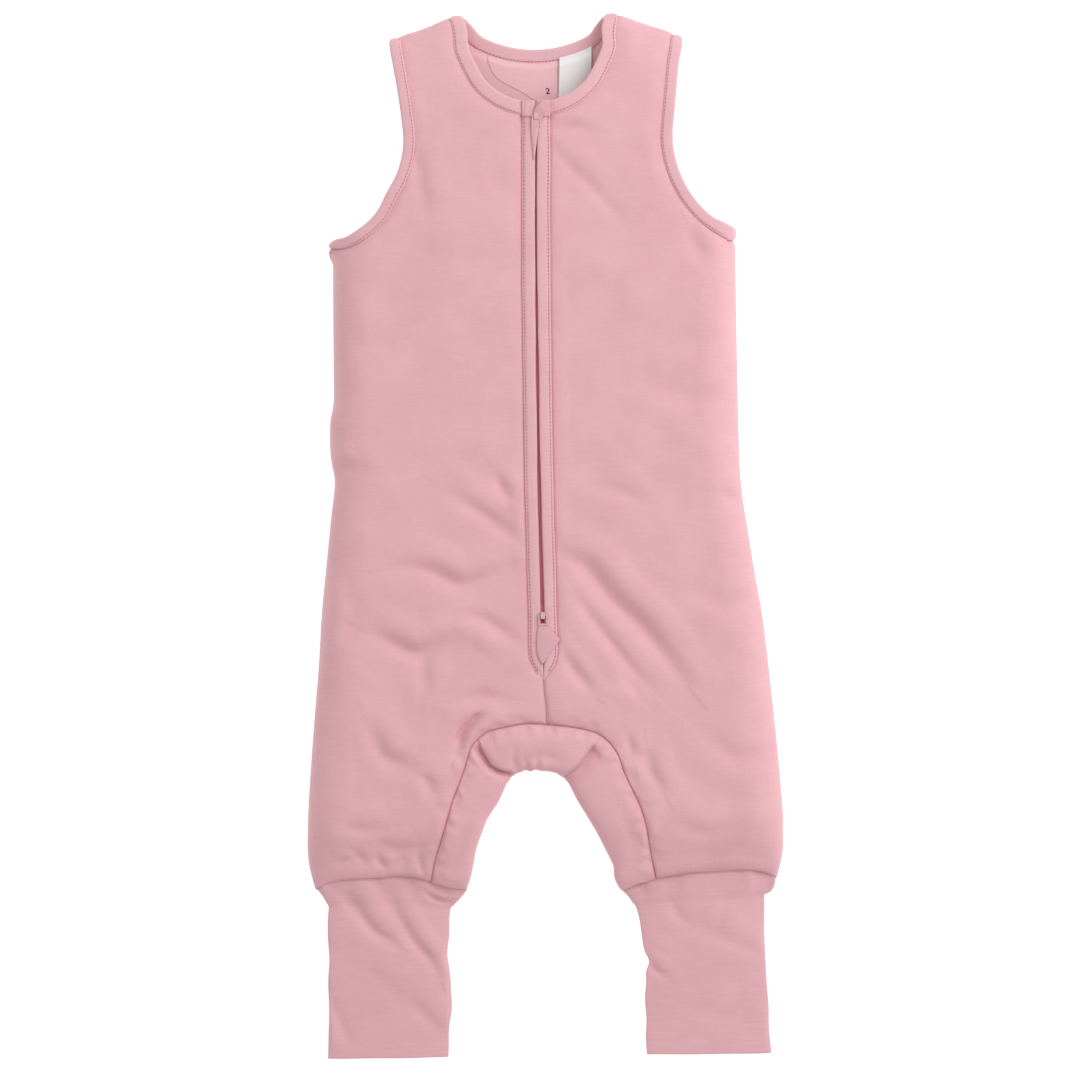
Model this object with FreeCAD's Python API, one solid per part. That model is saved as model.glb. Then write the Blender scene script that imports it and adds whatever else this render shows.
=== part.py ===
import FreeCAD, Part
import math
import os

# A padded sleeveless sleep suit for a small child: torso and two legs, a two-way front zip and two
# long cuffs that fold up over the legs. It lies flat on its back.
# X runs across the suit and +X is the wearer's left. +Y points to the neck. +Z points up, out of the
# front. The origin lies under the middle of the bounding box, on the surface that carries the suit.
# Millimetres and degrees.

Vector = FreeCAD.Vector

# Lengths along the suit
torso_length = 565.5          # shoulder peak to the crotch fold
leg_length = 91.5             # crotch fold to the ankle seam
cuff_length = 127.7           # top of a cuff to its hem

# Half-widths and heights of the outline
neck_half = 57.4              # middle to the shoulder peak
shoulder_half = 109.7         # middle to the outer end of the shoulder seam
shoulder_drop = 19.5          # fall of the shoulder seam from peak to outer end
armhole_half = 101.8          # middle to the innermost point of the armhole
armhole_inmost_drop = 91.5    # shoulder peak down to that point
armhole_drop = 164.5          # shoulder peak down to the underarm
chest_half = 151.0            # middle to the side seam at the underarm
waist_half = 152.0
waist_drop = 349.5            # shoulder peak down to the waist
leg_half = 179.6              # middle to the outer side of the leg where it is fullest
leg_full_rise = 50.5          # ankle seam up to that place
leg_bulge = 2.5               # how far the hip and the lower leg round out from a straight line
ankle_outer_half = 171.7
ankle_inner_half = 60.0
inner_leg_bulge = 1.6
crotch_half = 22.0            # half of the arch between the legs
crotch_arch = 11.0            # height of that arch

# Necklines
front_neck_drop = 66.5        # shoulder peak down to the front neck edge
front_neck_turn_half = 38.5   # where the round front neckline turns up to the shoulder
front_neck_turn_rise = 18.0
back_neck_drop = 26.2
back_neck_turn_half = 42.5
back_neck_turn_rise = 11.4
neck_side_bulge = 2.0

# Gusset between the legs
gusset_rise = 32.0            # crotch fold up to the gusset seam at the middle
gusset_top_half = 49.5
gusset_top_fall = 13.0        # fall of the seam from the middle to that half-width
gusset_turn_half = 62.0
gusset_turn_fall = 37.0
gusset_turn_bulge = 2.0
gusset_ankle_half = 85.0

# Thickness of the suit as it lies
front_height = 34.0           # top of the front over the chest, the belly and the whole zip
shoulder_height = 22.0
ankle_height = 20.0
instep_height = 30.0
instep_rise = 22.0            # ankle seam up to where the leg is that thick
full_rise = 62.0              # ankle seam up to where the leg is as thick as the front
seam_height = 9.0             # side, shoulder and inner-leg seams above the surface

# Cloth layers, from the outside in
outer_cloth = 1.0
wadding = 4.0
lining_cloth = 0.8
layer_gap = 0.2
seam_gap = 0.2
neck_binding_width = 11.0
armhole_binding_width = 9.0

# Cuffs
cuff_width = 91.0
cuff_height = 14.0
cuff_inner_half = 70.5        # middle to the near side of a cuff at its top
cuff_splay = 5.5              # how far a cuff leans outwards down its length
cuff_cloth = 1.0
cuff_inner_cloth = 0.6
cuff_gap = 0.3

# Zip
strip_inner_half = 2.2        # middle to the open edge of a fabric strip beside the zip
strip_outer_half = 12.0
strip_flange_half = 8.5       # outside this the strip is sewn down on the tape
strip_thickness = 2.4
strip_proud = 0.2             # how far the strips stand above the front
zip_point_above_gusset = 35.0
zip_point_length = 12.5
strip_open_point_length = 10.0
tape_thickness = 0.5
tape_inner_half = 0.8
tape_depth = 6.0              # front surface down to the underside of the tape
tape_beyond_stop = 1.2
coil_inner_half = 0.45
coil_outer_half = 2.8
coil_height = 1.4
stop_length = 3.0
top_stop_below_neck = 0.5     # neck edge down to the outer end of the top stops
bottom_stop_above_point = 13.5
guard_thickness = 1.0
guard_half = 13.0
guard_flange = 4.0
guard_depth = 9.6             # front surface down to the underside of the guard

# Sliders and their pulls
slider_length = 14.0
slider_half = 4.3
slider_tail_half = 3.6
slider_plate = 0.9
slider_wall = 1.0
slider_clearance = 0.35
slider_post_half = 0.25
slider_post_length = 6.0
top_slider_clearance = 0.3
lower_slider_above_stop = 24.0
crown_half = 1.6
crown_length = 5.0
crown_pin_height = 1.8        # front surface up to the pin
pin_radius = 0.65
pin_clearance = 0.1
crown_wall = 0.65
eye_inner_half = 2.4
eye_arm = 1.0
eye_length = 7.5
eye_thickness = 1.2
ribbon_wall = 0.5
ribbon_clearance = 0.2
ribbon_tail_thickness = 1.2
upper_ribbon_length = 27.0
upper_ribbon_half = 4.6
lower_ribbon_length = 23.0
lower_ribbon_half = 8.0
ribbon_neck_half = 3.6

# Pieces inside the back of the neck
facing_half = 42.0
facing_depth = 40.0           # back neck edge down to the bottom of the half-moon
facing_thickness = 0.4
label_width = 24.6
label_length = 36.0
label_from_middle = 18.0
label_under_binding = 4.0
label_thickness = 0.4

# Places that follow from the sizes above
total_length = torso_length + leg_length + cuff_gap + cuff_length
y_peak = total_length / 2
y_crotch = y_peak - torso_length
y_ankle = y_crotch - leg_length
y_cuff_top = y_ankle - cuff_gap
y_underarm = y_peak - armhole_drop
y_front_neck = y_peak - front_neck_drop
y_back_neck = y_peak - back_neck_drop
y_gusset = y_crotch + gusset_rise
y_zip_point = y_gusset + zip_point_above_gusset
shell_depth = outer_cloth + layer_gap + wadding + layer_gap + lining_cloth
slot_half = strip_outer_half + seam_gap
reach = 60.0                  # how far cutting shapes run past what they cut
open_end = 25.0               # how far the padded body runs past an open end before it is trimmed

# Heights in the zip
z_tape = front_height - tape_depth
z_tape_top = z_tape + tape_thickness
z_coil = z_tape_top + layer_gap
z_coil_top = z_coil + coil_height
z_strip_top = front_height + strip_proud
z_strip = z_strip_top - strip_thickness
z_pin = front_height + crown_pin_height
y_top_stop = y_front_neck - top_stop_below_neck - stop_length
y_bottom_stop = y_zip_point + bottom_stop_above_point
y_upper_slider = y_top_stop - top_slider_clearance
y_lower_slider = y_bottom_stop + stop_length + lower_slider_above_stop + slider_length


def at(x, y, z=0.0):
    return Vector(x, y, z)


def line(start, end):
    return Part.LineSegment(start, end).toShape()


def arc(start, middle, end):
    return Part.Arc(start, middle, end).toShape()


def bulged(start, end, bulge, normal=Vector(0, 0, 1)):
    """An arc from start to end whose middle stands off to the right of the way by the bulge."""
    way = end - start
    side = way.cross(normal).normalize()
    return arc(start, (start + end) * 0.5 + side * bulge, end)


def mirrored(edge):
    return edge.mirror(Vector(0, 0, 0), Vector(1, 0, 0))


def face_of(edges):
    wire = Part.Wire(Part.__sortEdges__(edges))
    return Part.Face(wire)


def polygon(points):
    return Part.Face(Part.makePolygon(points + [points[0]]))


def grown(face, distance):
    """The face with its edge moved outwards, or inwards where the distance is negative."""
    if distance == 0:
        return face
    return face.makeOffset2D(distance, 0, False, False, False)


def upright(face, low=-reach, high=reach + front_height):
    """The prism over a flat region of the XY plane, between two heights."""
    lifted = face.copy()
    lifted.translate(Vector(0, 0, low))
    return lifted.extrude(Vector(0, 0, high - low))


def block(low, high):
    size = high - low
    return Part.makeBox(size.x, size.y, size.z, low)


def both_sides(shape):
    return [shape, shape.mirror(Vector(0, 0, 0), Vector(1, 0, 0))]


def save(name, shape):
    """Write one node, as a compound of its closed solids."""
    solids = [s for s in shape.Solids if s.Volume > 0.01]
    kept = solids[0] if len(solids) == 1 else Part.makeCompound(solids)
    kept.exportStep("parts/" + name + ".step")
    box = kept.BoundBox
    corner = "%.1f %.1f %.1f  %.1f %.1f %.1f" % (box.XMin, box.YMin, box.ZMin, box.XMax, box.YMax, box.ZMax)
    print("%-24s %2d solid  %10.1f mm3  %s" % (name, len(solids), kept.Volume, corner))


# Flat regions

def suit_outline():
    """The closed outline, run past the neck, the armholes and the ankles, which are trimmed later."""
    slope = shoulder_drop / (shoulder_half - neck_half)
    middle_top = at(0, y_peak + slope * neck_half)
    corner = at(chest_half, y_peak - slope * (chest_half - neck_half))
    underarm = at(chest_half, y_underarm)
    waist = at(waist_half, y_peak - waist_drop)
    fullest = at(leg_half, y_ankle + leg_full_rise)
    ankle_out = at(ankle_outer_half, y_ankle)
    ankle_in = at(ankle_inner_half, y_ankle)
    down = Vector(0, -open_end, 0)
    arch = at(crotch_half, y_crotch - crotch_arch)
    half = [
        line(middle_top, corner),
        line(corner, underarm),
        line(underarm, waist),
        bulged(waist, fullest, -leg_bulge),
        bulged(fullest, ankle_out, -leg_bulge),
        line(ankle_out, ankle_out + down),
        line(ankle_out + down, ankle_in + down),
        line(ankle_in + down, ankle_in),
        bulged(ankle_in, arch, -inner_leg_bulge),
    ]
    crotch = arc(arch, at(0, y_crotch), at(-crotch_half, arch.y))
    return face_of(half + [mirrored(edge) for edge in half] + [crotch])


def neck_hole(turn_half, y_bottom, turn_rise):
    """The region above a round neckline, run up past the shoulders."""
    peak = at(neck_half, y_peak)
    turn = at(turn_half, y_bottom + turn_rise)
    above = peak + Vector(0, reach, 0)
    half = [bulged(peak, turn, -neck_side_bulge), line(peak, above)]
    bottom = arc(turn, at(0, y_bottom), at(-turn_half, turn.y))
    top = line(above, at(-neck_half, above.y))
    return face_of(half + [mirrored(edge) for edge in half] + [bottom, top])


def armhole():
    """The region outside the left armhole: a straight upper edge, then an arc to the underarm."""
    outer = at(shoulder_half, y_peak - shoulder_drop)
    inmost = at(armhole_half, y_peak - armhole_inmost_drop)
    underarm = at(chest_half, y_underarm)
    across = chest_half - armhole_half
    down = inmost.y - y_underarm
    radius = (across * across + down * down) / (2 * across)
    half_turn = math.asin(down / radius) / 2
    middle = at(armhole_half + radius * (1 - math.cos(half_turn)), inmost.y - radius * math.sin(half_turn))
    lean = (outer - inmost).normalize()
    above = outer + lean * reach
    far = chest_half + reach
    edges = [
        line(above, inmost),
        arc(inmost, middle, underarm),
        line(underarm, at(far, y_underarm)),
        line(at(far, y_underarm), at(far, above.y)),
        line(at(far, above.y), above),
    ]
    return face_of(edges)


def gusset_region(grow=0.0):
    """Everything below the gusset seam, between the two legs' front panels."""
    top = at(gusset_top_half, y_gusset - gusset_top_fall)
    turn = at(gusset_turn_half, y_gusset - gusset_turn_fall)
    ankle = at(gusset_ankle_half, y_ankle)
    below = ankle + (ankle - turn).normalize() * (open_end + reach)
    half = [bulged(top, turn, -gusset_turn_bulge), line(turn, below)]
    crest = arc(top, at(0, y_gusset), at(-gusset_top_half, top.y))
    base = line(below, at(-below.x, below.y))
    return grown(face_of(half + [mirrored(edge) for edge in half] + [crest, base]), grow)


def zip_slot(half, point):
    """The long slot for the zip, closed by a point at its lower end."""
    start = y_zip_point + zip_point_length
    top = y_peak + reach
    return polygon([at(-half, top), at(-half, start), at(0, point), at(half, start), at(half, top)])


# The padded body

def side_profile():
    """The suit seen from its side, in the YZ plane, run past both open ends."""
    flat_end = y_front_neck + strip_inner_half
    fall = (front_height - shoulder_height) / (y_peak - flat_end)
    points = [
        at(0, y_ankle - open_end, 0),
        at(0, y_peak + reach, 0),
        at(0, y_peak + reach, shoulder_height - fall * reach + shell_depth),
        at(0, y_peak, shoulder_height),
        at(0, flat_end, front_height),
        at(0, y_ankle + full_rise, front_height),
        at(0, y_ankle + instep_rise, instep_height),
        at(0, y_ankle, ankle_height),
        at(0, y_ankle - open_end, ankle_height),
    ]
    return polygon(points)


def envelope(depth):
    """The space inside the suit's surface, moved inwards by a depth."""
    flat = upright(grown(suit_outline(), -depth))
    side = grown(side_profile(), -depth)
    half_width = leg_half + reach
    side.translate(Vector(-half_width, 0, 0))
    return flat.common(side.extrude(Vector(2 * half_width, 0, 0)))


def trimmed(solid):
    """Cut off what runs past the ankle seams."""
    wide = leg_half + reach
    below = block(at(-wide, y_ankle - 2 * reach, -reach), at(wide, y_ankle, front_height + reach))
    return solid.cut(below)


def above_seam():
    wide = leg_half + reach
    return block(at(-wide, -total_length, seam_height + seam_gap / 2), at(wide, total_length, front_height + reach))


def below_seam():
    wide = leg_half + reach
    return block(at(-wide, -total_length, -reach), at(wide, total_length, seam_height - seam_gap / 2))


def build_layers():
    """The three cloth layers all round, each as one shell with its openings still closed."""
    first = envelope(0)
    second = envelope(outer_cloth)
    third = envelope(outer_cloth + layer_gap)
    fourth = envelope(outer_cloth + layer_gap + wadding)
    fifth = envelope(outer_cloth + 2 * layer_gap + wadding)
    sixth = envelope(shell_depth)
    shells = {
        "outer": first.cut(second),
        "wadding": third.cut(fourth),
        "lining": fifth.cut(sixth),
        "whole": first.cut(sixth),
    }
    return {name: trimmed(shell) for name, shell in shells.items()}


def build_body(shells, front_hole, back_hole, arm_hole):
    """Front, back and gusset panels of each layer, cut to their seams."""
    neck_cut = neck_binding_width + seam_gap
    arm_cut = armhole_binding_width + seam_gap
    arms = both_sides(upright(grown(arm_hole, arm_cut)))
    gusset_cut = upright(gusset_region(seam_gap / 2))
    gusset_keep = upright(gusset_region(-seam_gap / 2))
    slot = upright(zip_slot(slot_half, y_zip_point - seam_gap))
    wide = leg_half + reach
    middle = block(at(-seam_gap / 2, -total_length, -reach), at(seam_gap / 2, total_length, front_height + reach))
    left_half = block(at(0, -total_length, -reach), at(wide, total_length, front_height + reach))
    right_half = block(at(-wide, -total_length, -reach), at(0, total_length, front_height + reach))
    front_tools = arms + [upright(grown(front_hole, neck_cut)), gusset_cut, slot, middle]
    back_tools = arms + [upright(grown(back_hole, neck_cut)), gusset_cut]
    for layer in ("outer", "wadding", "lining"):
        front = shells[layer].common(above_seam()).cut(front_tools)
        save("front_" + layer + "_left", front.common(left_half))
        save("front_" + layer + "_right", front.common(right_half))
        save("back_" + layer, shells[layer].common(below_seam()).cut(back_tools))
        save("gusset_" + layer, shells[layer].common(gusset_keep))


def build_bindings(shell, front_hole, back_hole, arm_hole):
    """The strips that wrap the raw edges of the neck and of each armhole."""
    arm_band = grown(arm_hole, armhole_binding_width).cut(arm_hole)
    left, right = both_sides(shell.common(upright(arm_band)))
    save("armhole_binding_left", left)
    save("armhole_binding_right", right)
    slot = upright(zip_slot(slot_half, y_zip_point), seam_height, front_height + reach)
    front_band = upright(grown(front_hole, neck_binding_width).cut(front_hole), seam_height)
    back_band = upright(grown(back_hole, neck_binding_width).cut(back_hole), -reach, seam_height)
    front = shell.common(front_band).cut(slot)
    back = shell.common(back_band)
    save("neck_binding", front.fuse(back).removeSplitter())


def build_neck_pieces(back_hole):
    """The half-moon facing and the care label, both lying on the back lining."""
    z_facing = shell_depth + layer_gap
    top = y_back_neck - neck_binding_width
    corner = at(facing_half, top + back_neck_turn_rise)
    moon = [
        arc(corner, at(0, y_back_neck - facing_depth), at(-corner.x, corner.y)),
        line(corner, at(-corner.x, corner.y)),
    ]
    trim = upright(grown(back_hole, neck_binding_width + seam_gap))
    facing = upright(face_of(moon), z_facing, z_facing + facing_thickness).cut(trim)
    save("back_neck_facing", facing)
    z_label = z_facing + facing_thickness + layer_gap
    y_label_top = top + label_under_binding
    low = at(label_from_middle, y_label_top - label_length, z_label)
    high = at(label_from_middle + label_width, y_label_top, z_label + label_thickness)
    save("neck_label", block(low, high))


# Cuffs

def cuff_section(depth):
    """The rounded flat section of a cuff, moved inwards by a depth."""
    radius = cuff_height / 2 - depth
    near = cuff_inner_half + cuff_height / 2
    far = cuff_inner_half + cuff_width - cuff_height / 2
    z_middle = cuff_height / 2
    low = z_middle - radius
    high = z_middle + radius
    edges = [
        line(at(near, y_cuff_top, low), at(far, y_cuff_top, low)),
        arc(at(far, y_cuff_top, low), at(far + radius, y_cuff_top, z_middle), at(far, y_cuff_top, high)),
        line(at(far, y_cuff_top, high), at(near, y_cuff_top, high)),
        arc(at(near, y_cuff_top, high), at(near - radius, y_cuff_top, z_middle), at(near, y_cuff_top, low)),
    ]
    return face_of(edges)


def cuff_tube(depth, cloth):
    along = Vector(cuff_splay, -cuff_length, 0)
    outside = cuff_section(depth).extrude(along)
    return outside.cut(cuff_section(depth + cloth).extrude(along))


def build_cuffs():
    left, right = both_sides(cuff_tube(0, cuff_cloth))
    save("cuff_outer_left", left)
    save("cuff_outer_right", right)
    left, right = both_sides(cuff_tube(cuff_cloth + layer_gap, cuff_inner_cloth))
    save("cuff_inner_left", left)
    save("cuff_inner_right", right)


# Zip

def along_zip(points, low, high):
    """A solid of constant XZ section between two places along the zip."""
    section = polygon([at(x, low, z) for x, z in points])
    return section.extrude(Vector(0, high - low, 0))


def build_strips():
    """The two fabric strips that half hide the zip and meet in a point below it."""
    points = [
        (strip_inner_half, z_strip),
        (strip_inner_half, z_strip_top),
        (strip_outer_half, z_strip_top),
        (strip_outer_half, z_tape_top + layer_gap),
        (strip_flange_half, z_tape_top + layer_gap),
        (strip_flange_half, z_strip),
    ]
    straight = along_zip(points, y_zip_point + zip_point_length, y_front_neck)
    start = y_zip_point + zip_point_length
    open_point = y_zip_point + strip_open_point_length
    edge = seam_gap / 2
    tip = [
        at(strip_inner_half, start),
        at(strip_outer_half, start),
        at(edge, y_zip_point),
        at(edge, open_point),
    ]
    strip = straight.fuse(upright(polygon(tip), z_strip, z_strip_top)).removeSplitter()
    left, right = both_sides(strip)
    save("zip_strip_left", left)
    save("zip_strip_right", right)


def build_zip():
    tape_low = y_bottom_stop - tape_beyond_stop
    tape = block(at(tape_inner_half, tape_low, z_tape), at(strip_outer_half, y_front_neck, z_tape_top))
    left, right = both_sides(tape)
    save("zip_tape_left", left)
    save("zip_tape_right", right)
    coil_low = at(coil_inner_half, y_bottom_stop + stop_length + layer_gap, z_coil)
    coil = block(coil_low, at(coil_outer_half, y_top_stop - layer_gap, z_coil_top))
    left, right = both_sides(coil)
    save("zip_coil_left", left)
    save("zip_coil_right", right)
    stop_high = at(coil_outer_half, y_top_stop + stop_length, z_coil_top)
    top_stop = block(at(coil_inner_half, y_top_stop, z_coil), stop_high)
    save("zip_top_stops", Part.makeCompound(both_sides(top_stop)))
    low = at(-coil_outer_half, y_bottom_stop, z_coil)
    high = at(coil_outer_half, y_bottom_stop + stop_length, z_coil_top)
    save("zip_bottom_stop", block(low, high))


def build_guard():
    """The soft strip behind the zip, sewn by one edge under the right front lining."""
    low = front_height - guard_depth
    high = low + guard_thickness
    under_lining = front_height - shell_depth - layer_gap
    points = [
        (-guard_half - guard_flange, low),
        (guard_half, low),
        (guard_half, high),
        (-guard_half, high),
        (-guard_half, under_lining),
        (-guard_half - guard_flange, under_lining),
    ]
    y_low = y_zip_point + zip_point_length
    save("zip_guard", along_zip(points, y_low, y_front_neck - neck_binding_width))


def slider(y_top):
    """A slider: two plates, their side walls, the post between the coils and the crown for the pull."""
    top_low = z_coil_top + slider_clearance
    top_high = top_low + slider_plate
    base_high = z_tape - slider_clearance
    base_low = base_high - slider_plate
    y_low = y_top - slider_length
    y_mid = y_top - slider_length / 2
    wall_inner = coil_outer_half + slider_clearance
    wall_outer = wall_inner + slider_wall
    plan = polygon([
        at(-slider_tail_half, y_low),
        at(slider_tail_half, y_low),
        at(slider_half, y_mid),
        at(slider_half, y_top),
        at(-slider_half, y_top),
        at(-slider_half, y_mid),
    ])
    plates = upright(plan, top_low, top_high).fuse(upright(plan, base_low, base_high))
    wall_low = z_tape_top + slider_clearance
    wall = block(at(wall_inner, y_mid, wall_low), at(wall_outer, y_top, top_low))
    post_top = y_mid + slider_post_length / 2
    post_low = at(-slider_post_half, post_top - slider_post_length, base_high)
    post = block(post_low, at(slider_post_half, post_top, top_low))
    crown_top = z_pin + pin_radius + pin_clearance + crown_wall
    crown_low = at(-crown_half, y_mid - crown_length / 2, top_high)
    crown = block(crown_low, at(crown_half, y_mid + crown_length / 2, crown_top))
    hole_start = at(-crown_half - reach, y_mid, z_pin)
    hole = Part.makeCylinder(pin_radius + pin_clearance, 2 * (crown_half + reach), hole_start, Vector(1, 0, 0))
    return plates.fuse(both_sides(wall) + [post, crown]).cut(hole).removeSplitter()


def pull_eye(y_pin):
    """The wire frame that turns in the crown: a pin, two arms and an end bar."""
    outer = eye_inner_half + eye_arm
    half_thick = eye_thickness / 2
    pin = Part.makeCylinder(pin_radius, 2 * eye_inner_half, at(-eye_inner_half, y_pin, z_pin), Vector(1, 0, 0))
    y_bar = y_pin - eye_length
    arm_low = at(eye_inner_half, y_bar, z_pin - half_thick)
    arm = block(arm_low, at(outer, y_pin + half_thick, z_pin + half_thick))
    bar = block(at(-outer, y_bar, z_pin - half_thick), at(outer, y_bar + eye_arm, z_pin + half_thick))
    return pin.fuse(both_sides(arm) + [bar]).removeSplitter()


def pull_ribbon(y_pin, length, half):
    """A ribbon folded over the end bar of an eye, drawn out to a pointed tab."""
    y_bar = y_pin - eye_length
    inner = eye_thickness / 2 + ribbon_clearance
    wall = inner + ribbon_wall
    hole_top = y_bar + eye_arm + ribbon_clearance
    hole_low = y_bar - ribbon_clearance
    top = hole_top + ribbon_wall
    tail = y_bar - length
    shoulder = hole_low - wall
    z_low = z_pin - wall
    z_high = z_pin + wall
    z_tail = z_low + ribbon_tail_thickness
    side = polygon([
        at(-half, top, z_low),
        at(-half, top, z_high),
        at(-half, hole_low, z_high),
        at(-half, shoulder, z_tail),
        at(-half, tail, z_tail),
        at(-half, tail, z_low),
    ])
    loop = side.extrude(Vector(2 * half, 0, 0))
    room = block(at(-half - reach, hole_low, z_pin - inner), at(half + reach, hole_top, z_pin + inner))
    neck = min(ribbon_neck_half, eye_inner_half - ribbon_clearance)
    waist = shoulder - (half - neck)
    plan = polygon([
        at(-neck, top),
        at(neck, top),
        at(neck, shoulder),
        at(half, waist),
        at(0, tail),
        at(-half, waist),
        at(-neck, shoulder),
    ])
    return loop.cut(room).common(upright(plan))


def build_sliders():
    places = [
        ("upper", y_upper_slider, upper_ribbon_length, upper_ribbon_half),
        ("lower", y_lower_slider, lower_ribbon_length, lower_ribbon_half),
    ]
    for name, y_top, length, half in places:
        y_pin = y_top - slider_length / 2
        save(name + "_slider", slider(y_top))
        save(name + "_pull_eye", pull_eye(y_pin))
        save(name + "_pull_ribbon", pull_ribbon(y_pin, length, half))
        print("%s pin at y %.2f z %.2f" % (name, y_pin, z_pin))


os.makedirs("parts", exist_ok=True)
front_neck = neck_hole(front_neck_turn_half, y_front_neck, front_neck_turn_rise)
back_neck = neck_hole(back_neck_turn_half, y_back_neck, back_neck_turn_rise)
left_armhole = armhole()
layers = build_layers()
build_body(layers, front_neck, back_neck, left_armhole)
build_bindings(layers["whole"], front_neck, back_neck, left_armhole)
build_neck_pieces(back_neck)
build_cuffs()
build_strips()
build_zip()
build_guard()
build_sliders()
print("ankle seam y %.2f, length %.2f" % (y_ankle, total_length))
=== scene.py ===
import math

import bmesh
import bpy
import numpy as np
from mathutils import Matrix, Vector


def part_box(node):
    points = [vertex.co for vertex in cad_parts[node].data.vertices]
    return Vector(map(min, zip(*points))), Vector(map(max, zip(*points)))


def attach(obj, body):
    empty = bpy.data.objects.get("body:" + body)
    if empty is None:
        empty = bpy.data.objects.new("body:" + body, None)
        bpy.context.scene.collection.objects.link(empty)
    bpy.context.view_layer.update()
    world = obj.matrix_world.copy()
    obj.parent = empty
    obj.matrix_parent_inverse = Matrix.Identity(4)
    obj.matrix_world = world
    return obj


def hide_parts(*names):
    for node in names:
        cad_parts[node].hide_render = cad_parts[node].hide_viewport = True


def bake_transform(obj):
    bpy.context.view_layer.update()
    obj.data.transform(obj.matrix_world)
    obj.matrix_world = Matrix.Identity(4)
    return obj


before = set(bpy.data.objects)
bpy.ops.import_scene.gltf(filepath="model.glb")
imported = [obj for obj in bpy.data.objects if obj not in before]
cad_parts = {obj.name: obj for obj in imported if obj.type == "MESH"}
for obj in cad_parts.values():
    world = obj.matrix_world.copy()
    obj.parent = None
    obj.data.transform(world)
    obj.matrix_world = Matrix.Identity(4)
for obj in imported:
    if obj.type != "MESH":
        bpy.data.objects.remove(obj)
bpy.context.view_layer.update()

# Looks of a padded sleep suit that lies flat on its back. Shapes are worked out in millimetres in the
# frame of the model (+X to the wearer's left, +Y to the neck, +Z up) and become metres in make_mesh.
MM = 0.001
BODY = "garment"
SIDES = {1: "left", -1: "right"}  # of the wearer; each is built on +X and turned over by its sign


def box_mm(node):
    """The low and the high corner of a node of the model, in millimetres."""
    low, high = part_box(node)
    return np.array(low) / MM, np.array(high) / MM


# Places taken from the frame
Y_PEAK = box_mm("neck_binding")[1][1]
Y_ANKLE = box_mm("front_outer_left")[0][1]
X_LEG, Z_FRONT = box_mm("front_outer_left")[1][[0, 2]]
Y_GUSSET = box_mm("gusset_outer")[1][1]
Y_POINT = box_mm("zip_strip_left")[0][1]
Y_FRONT_NECK = box_mm("zip_strip_left")[1][1]
STRIP_OUT = box_mm("zip_strip_left")[1][0]
X_CHEST = box_mm("armhole_binding_left")[1][0]
Y_UNDERARM = box_mm("armhole_binding_left")[0][1] + 9.0
Y_HEM = box_mm("cuff_outer_left")[0][1]
Z_STRIP = box_mm("zip_strip_left")[1][2]

# Sizes of the sewn outline
NECK_HALF = 57.4
SHOULDER_HALF, SHOULDER_DROP = 109.7, 17.0
ARMHOLE_HALF, ARMHOLE_INMOST_DROP = 101.8, 91.5
WAIST_HALF, WAIST_DROP = 152.0, 349.5
LEG_FULL_RISE, LEG_BULGE = 50.5, 2.5
ANKLE_OUT, ANKLE_IN = 171.7, 60.0
Y_CROTCH = Y_ANKLE + 91.5
Y_BACK_NECK = Y_PEAK - 23.8
BACK_NECK_TURN, BACK_NECK_RISE = 42.5, 11.4
FRONT_NECK_TURN, FRONT_NECK_RISE = 38.5, 18.0
NECK_BAND, ARM_BAND = 11.0, 9.0
Z_SEAM, Z_SHOULDER, Z_ANKLE = 10.0, 22.0, 14.4


# Plane curves, each an array of (x, y) points

def arc3(a, b, c, n=40):
    """Points on the circle through three points, from a to c."""
    (ax, ay), (bx, by), (cx, cy) = a, b, c
    d = 2 * (ax * (by - cy) + bx * (cy - ay) + cx * (ay - by))
    ux = ((ax**2 + ay**2) * (by - cy) + (bx**2 + by**2) * (cy - ay) + (cx**2 + cy**2) * (ay - by)) / d
    uy = ((ax**2 + ay**2) * (cx - bx) + (bx**2 + by**2) * (ax - cx) + (cx**2 + cy**2) * (bx - ax)) / d
    start, middle, end = (math.atan2(y - uy, x - ux) for x, y in (a, b, c))
    turn = (end - start) % (2 * math.pi)
    if (middle - start) % (2 * math.pi) > turn:
        turn -= 2 * math.pi
    t = start + turn * np.linspace(0, 1, n)
    r = math.hypot(ax - ux, ay - uy)
    return np.stack([ux + r * np.cos(t), uy + r * np.sin(t)], 1)


def bulged(a, c, bulge):
    """An arc from a to c that stands off its chord by the bulge, to the left of the way."""
    a, c = np.array(a, float), np.array(c, float)
    way = (c - a) / np.linalg.norm(c - a)
    return arc3(a, (a + c) / 2 + bulge * np.array([-way[1], way[0]]), c)


def join(*runs):
    """One polyline from several runs of points, without doubled points."""
    points = np.concatenate([np.array(run, float) for run in runs])
    keep = np.concatenate([[True], np.linalg.norm(np.diff(points, axis=0), axis=1) > 1e-6])
    return points[keep]


def lengths(points):
    """How far along a polyline each of its points lies."""
    return np.concatenate([[0], np.cumsum(np.linalg.norm(np.diff(points, axis=0), axis=1))])


def along(points, s):
    """The points at distances s along a polyline."""
    t = lengths(points)
    return np.stack([np.interp(s, t, points[:, k]) for k in range(points.shape[1])], 1)


def resample(points, n):
    """n points evenly along a polyline."""
    return along(points, np.linspace(0, lengths(points)[-1], n))


def smooth_line(points, rounds):
    """Each inner point or value moved halfway to the mean of its neighbours, a few times."""
    points = points.copy()
    for _ in range(rounds):
        points[1:-1] = 0.5 * points[1:-1] + 0.25 * (points[:-2] + points[2:])
    return points


def offset(points, distance):
    """The curve moved to the left of its way by a distance."""
    way = np.gradient(points, axis=0)
    way /= np.linalg.norm(way, axis=1)[:, None]
    return points + distance * np.stack([-way[:, 1], way[:, 0]], 1)


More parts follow.
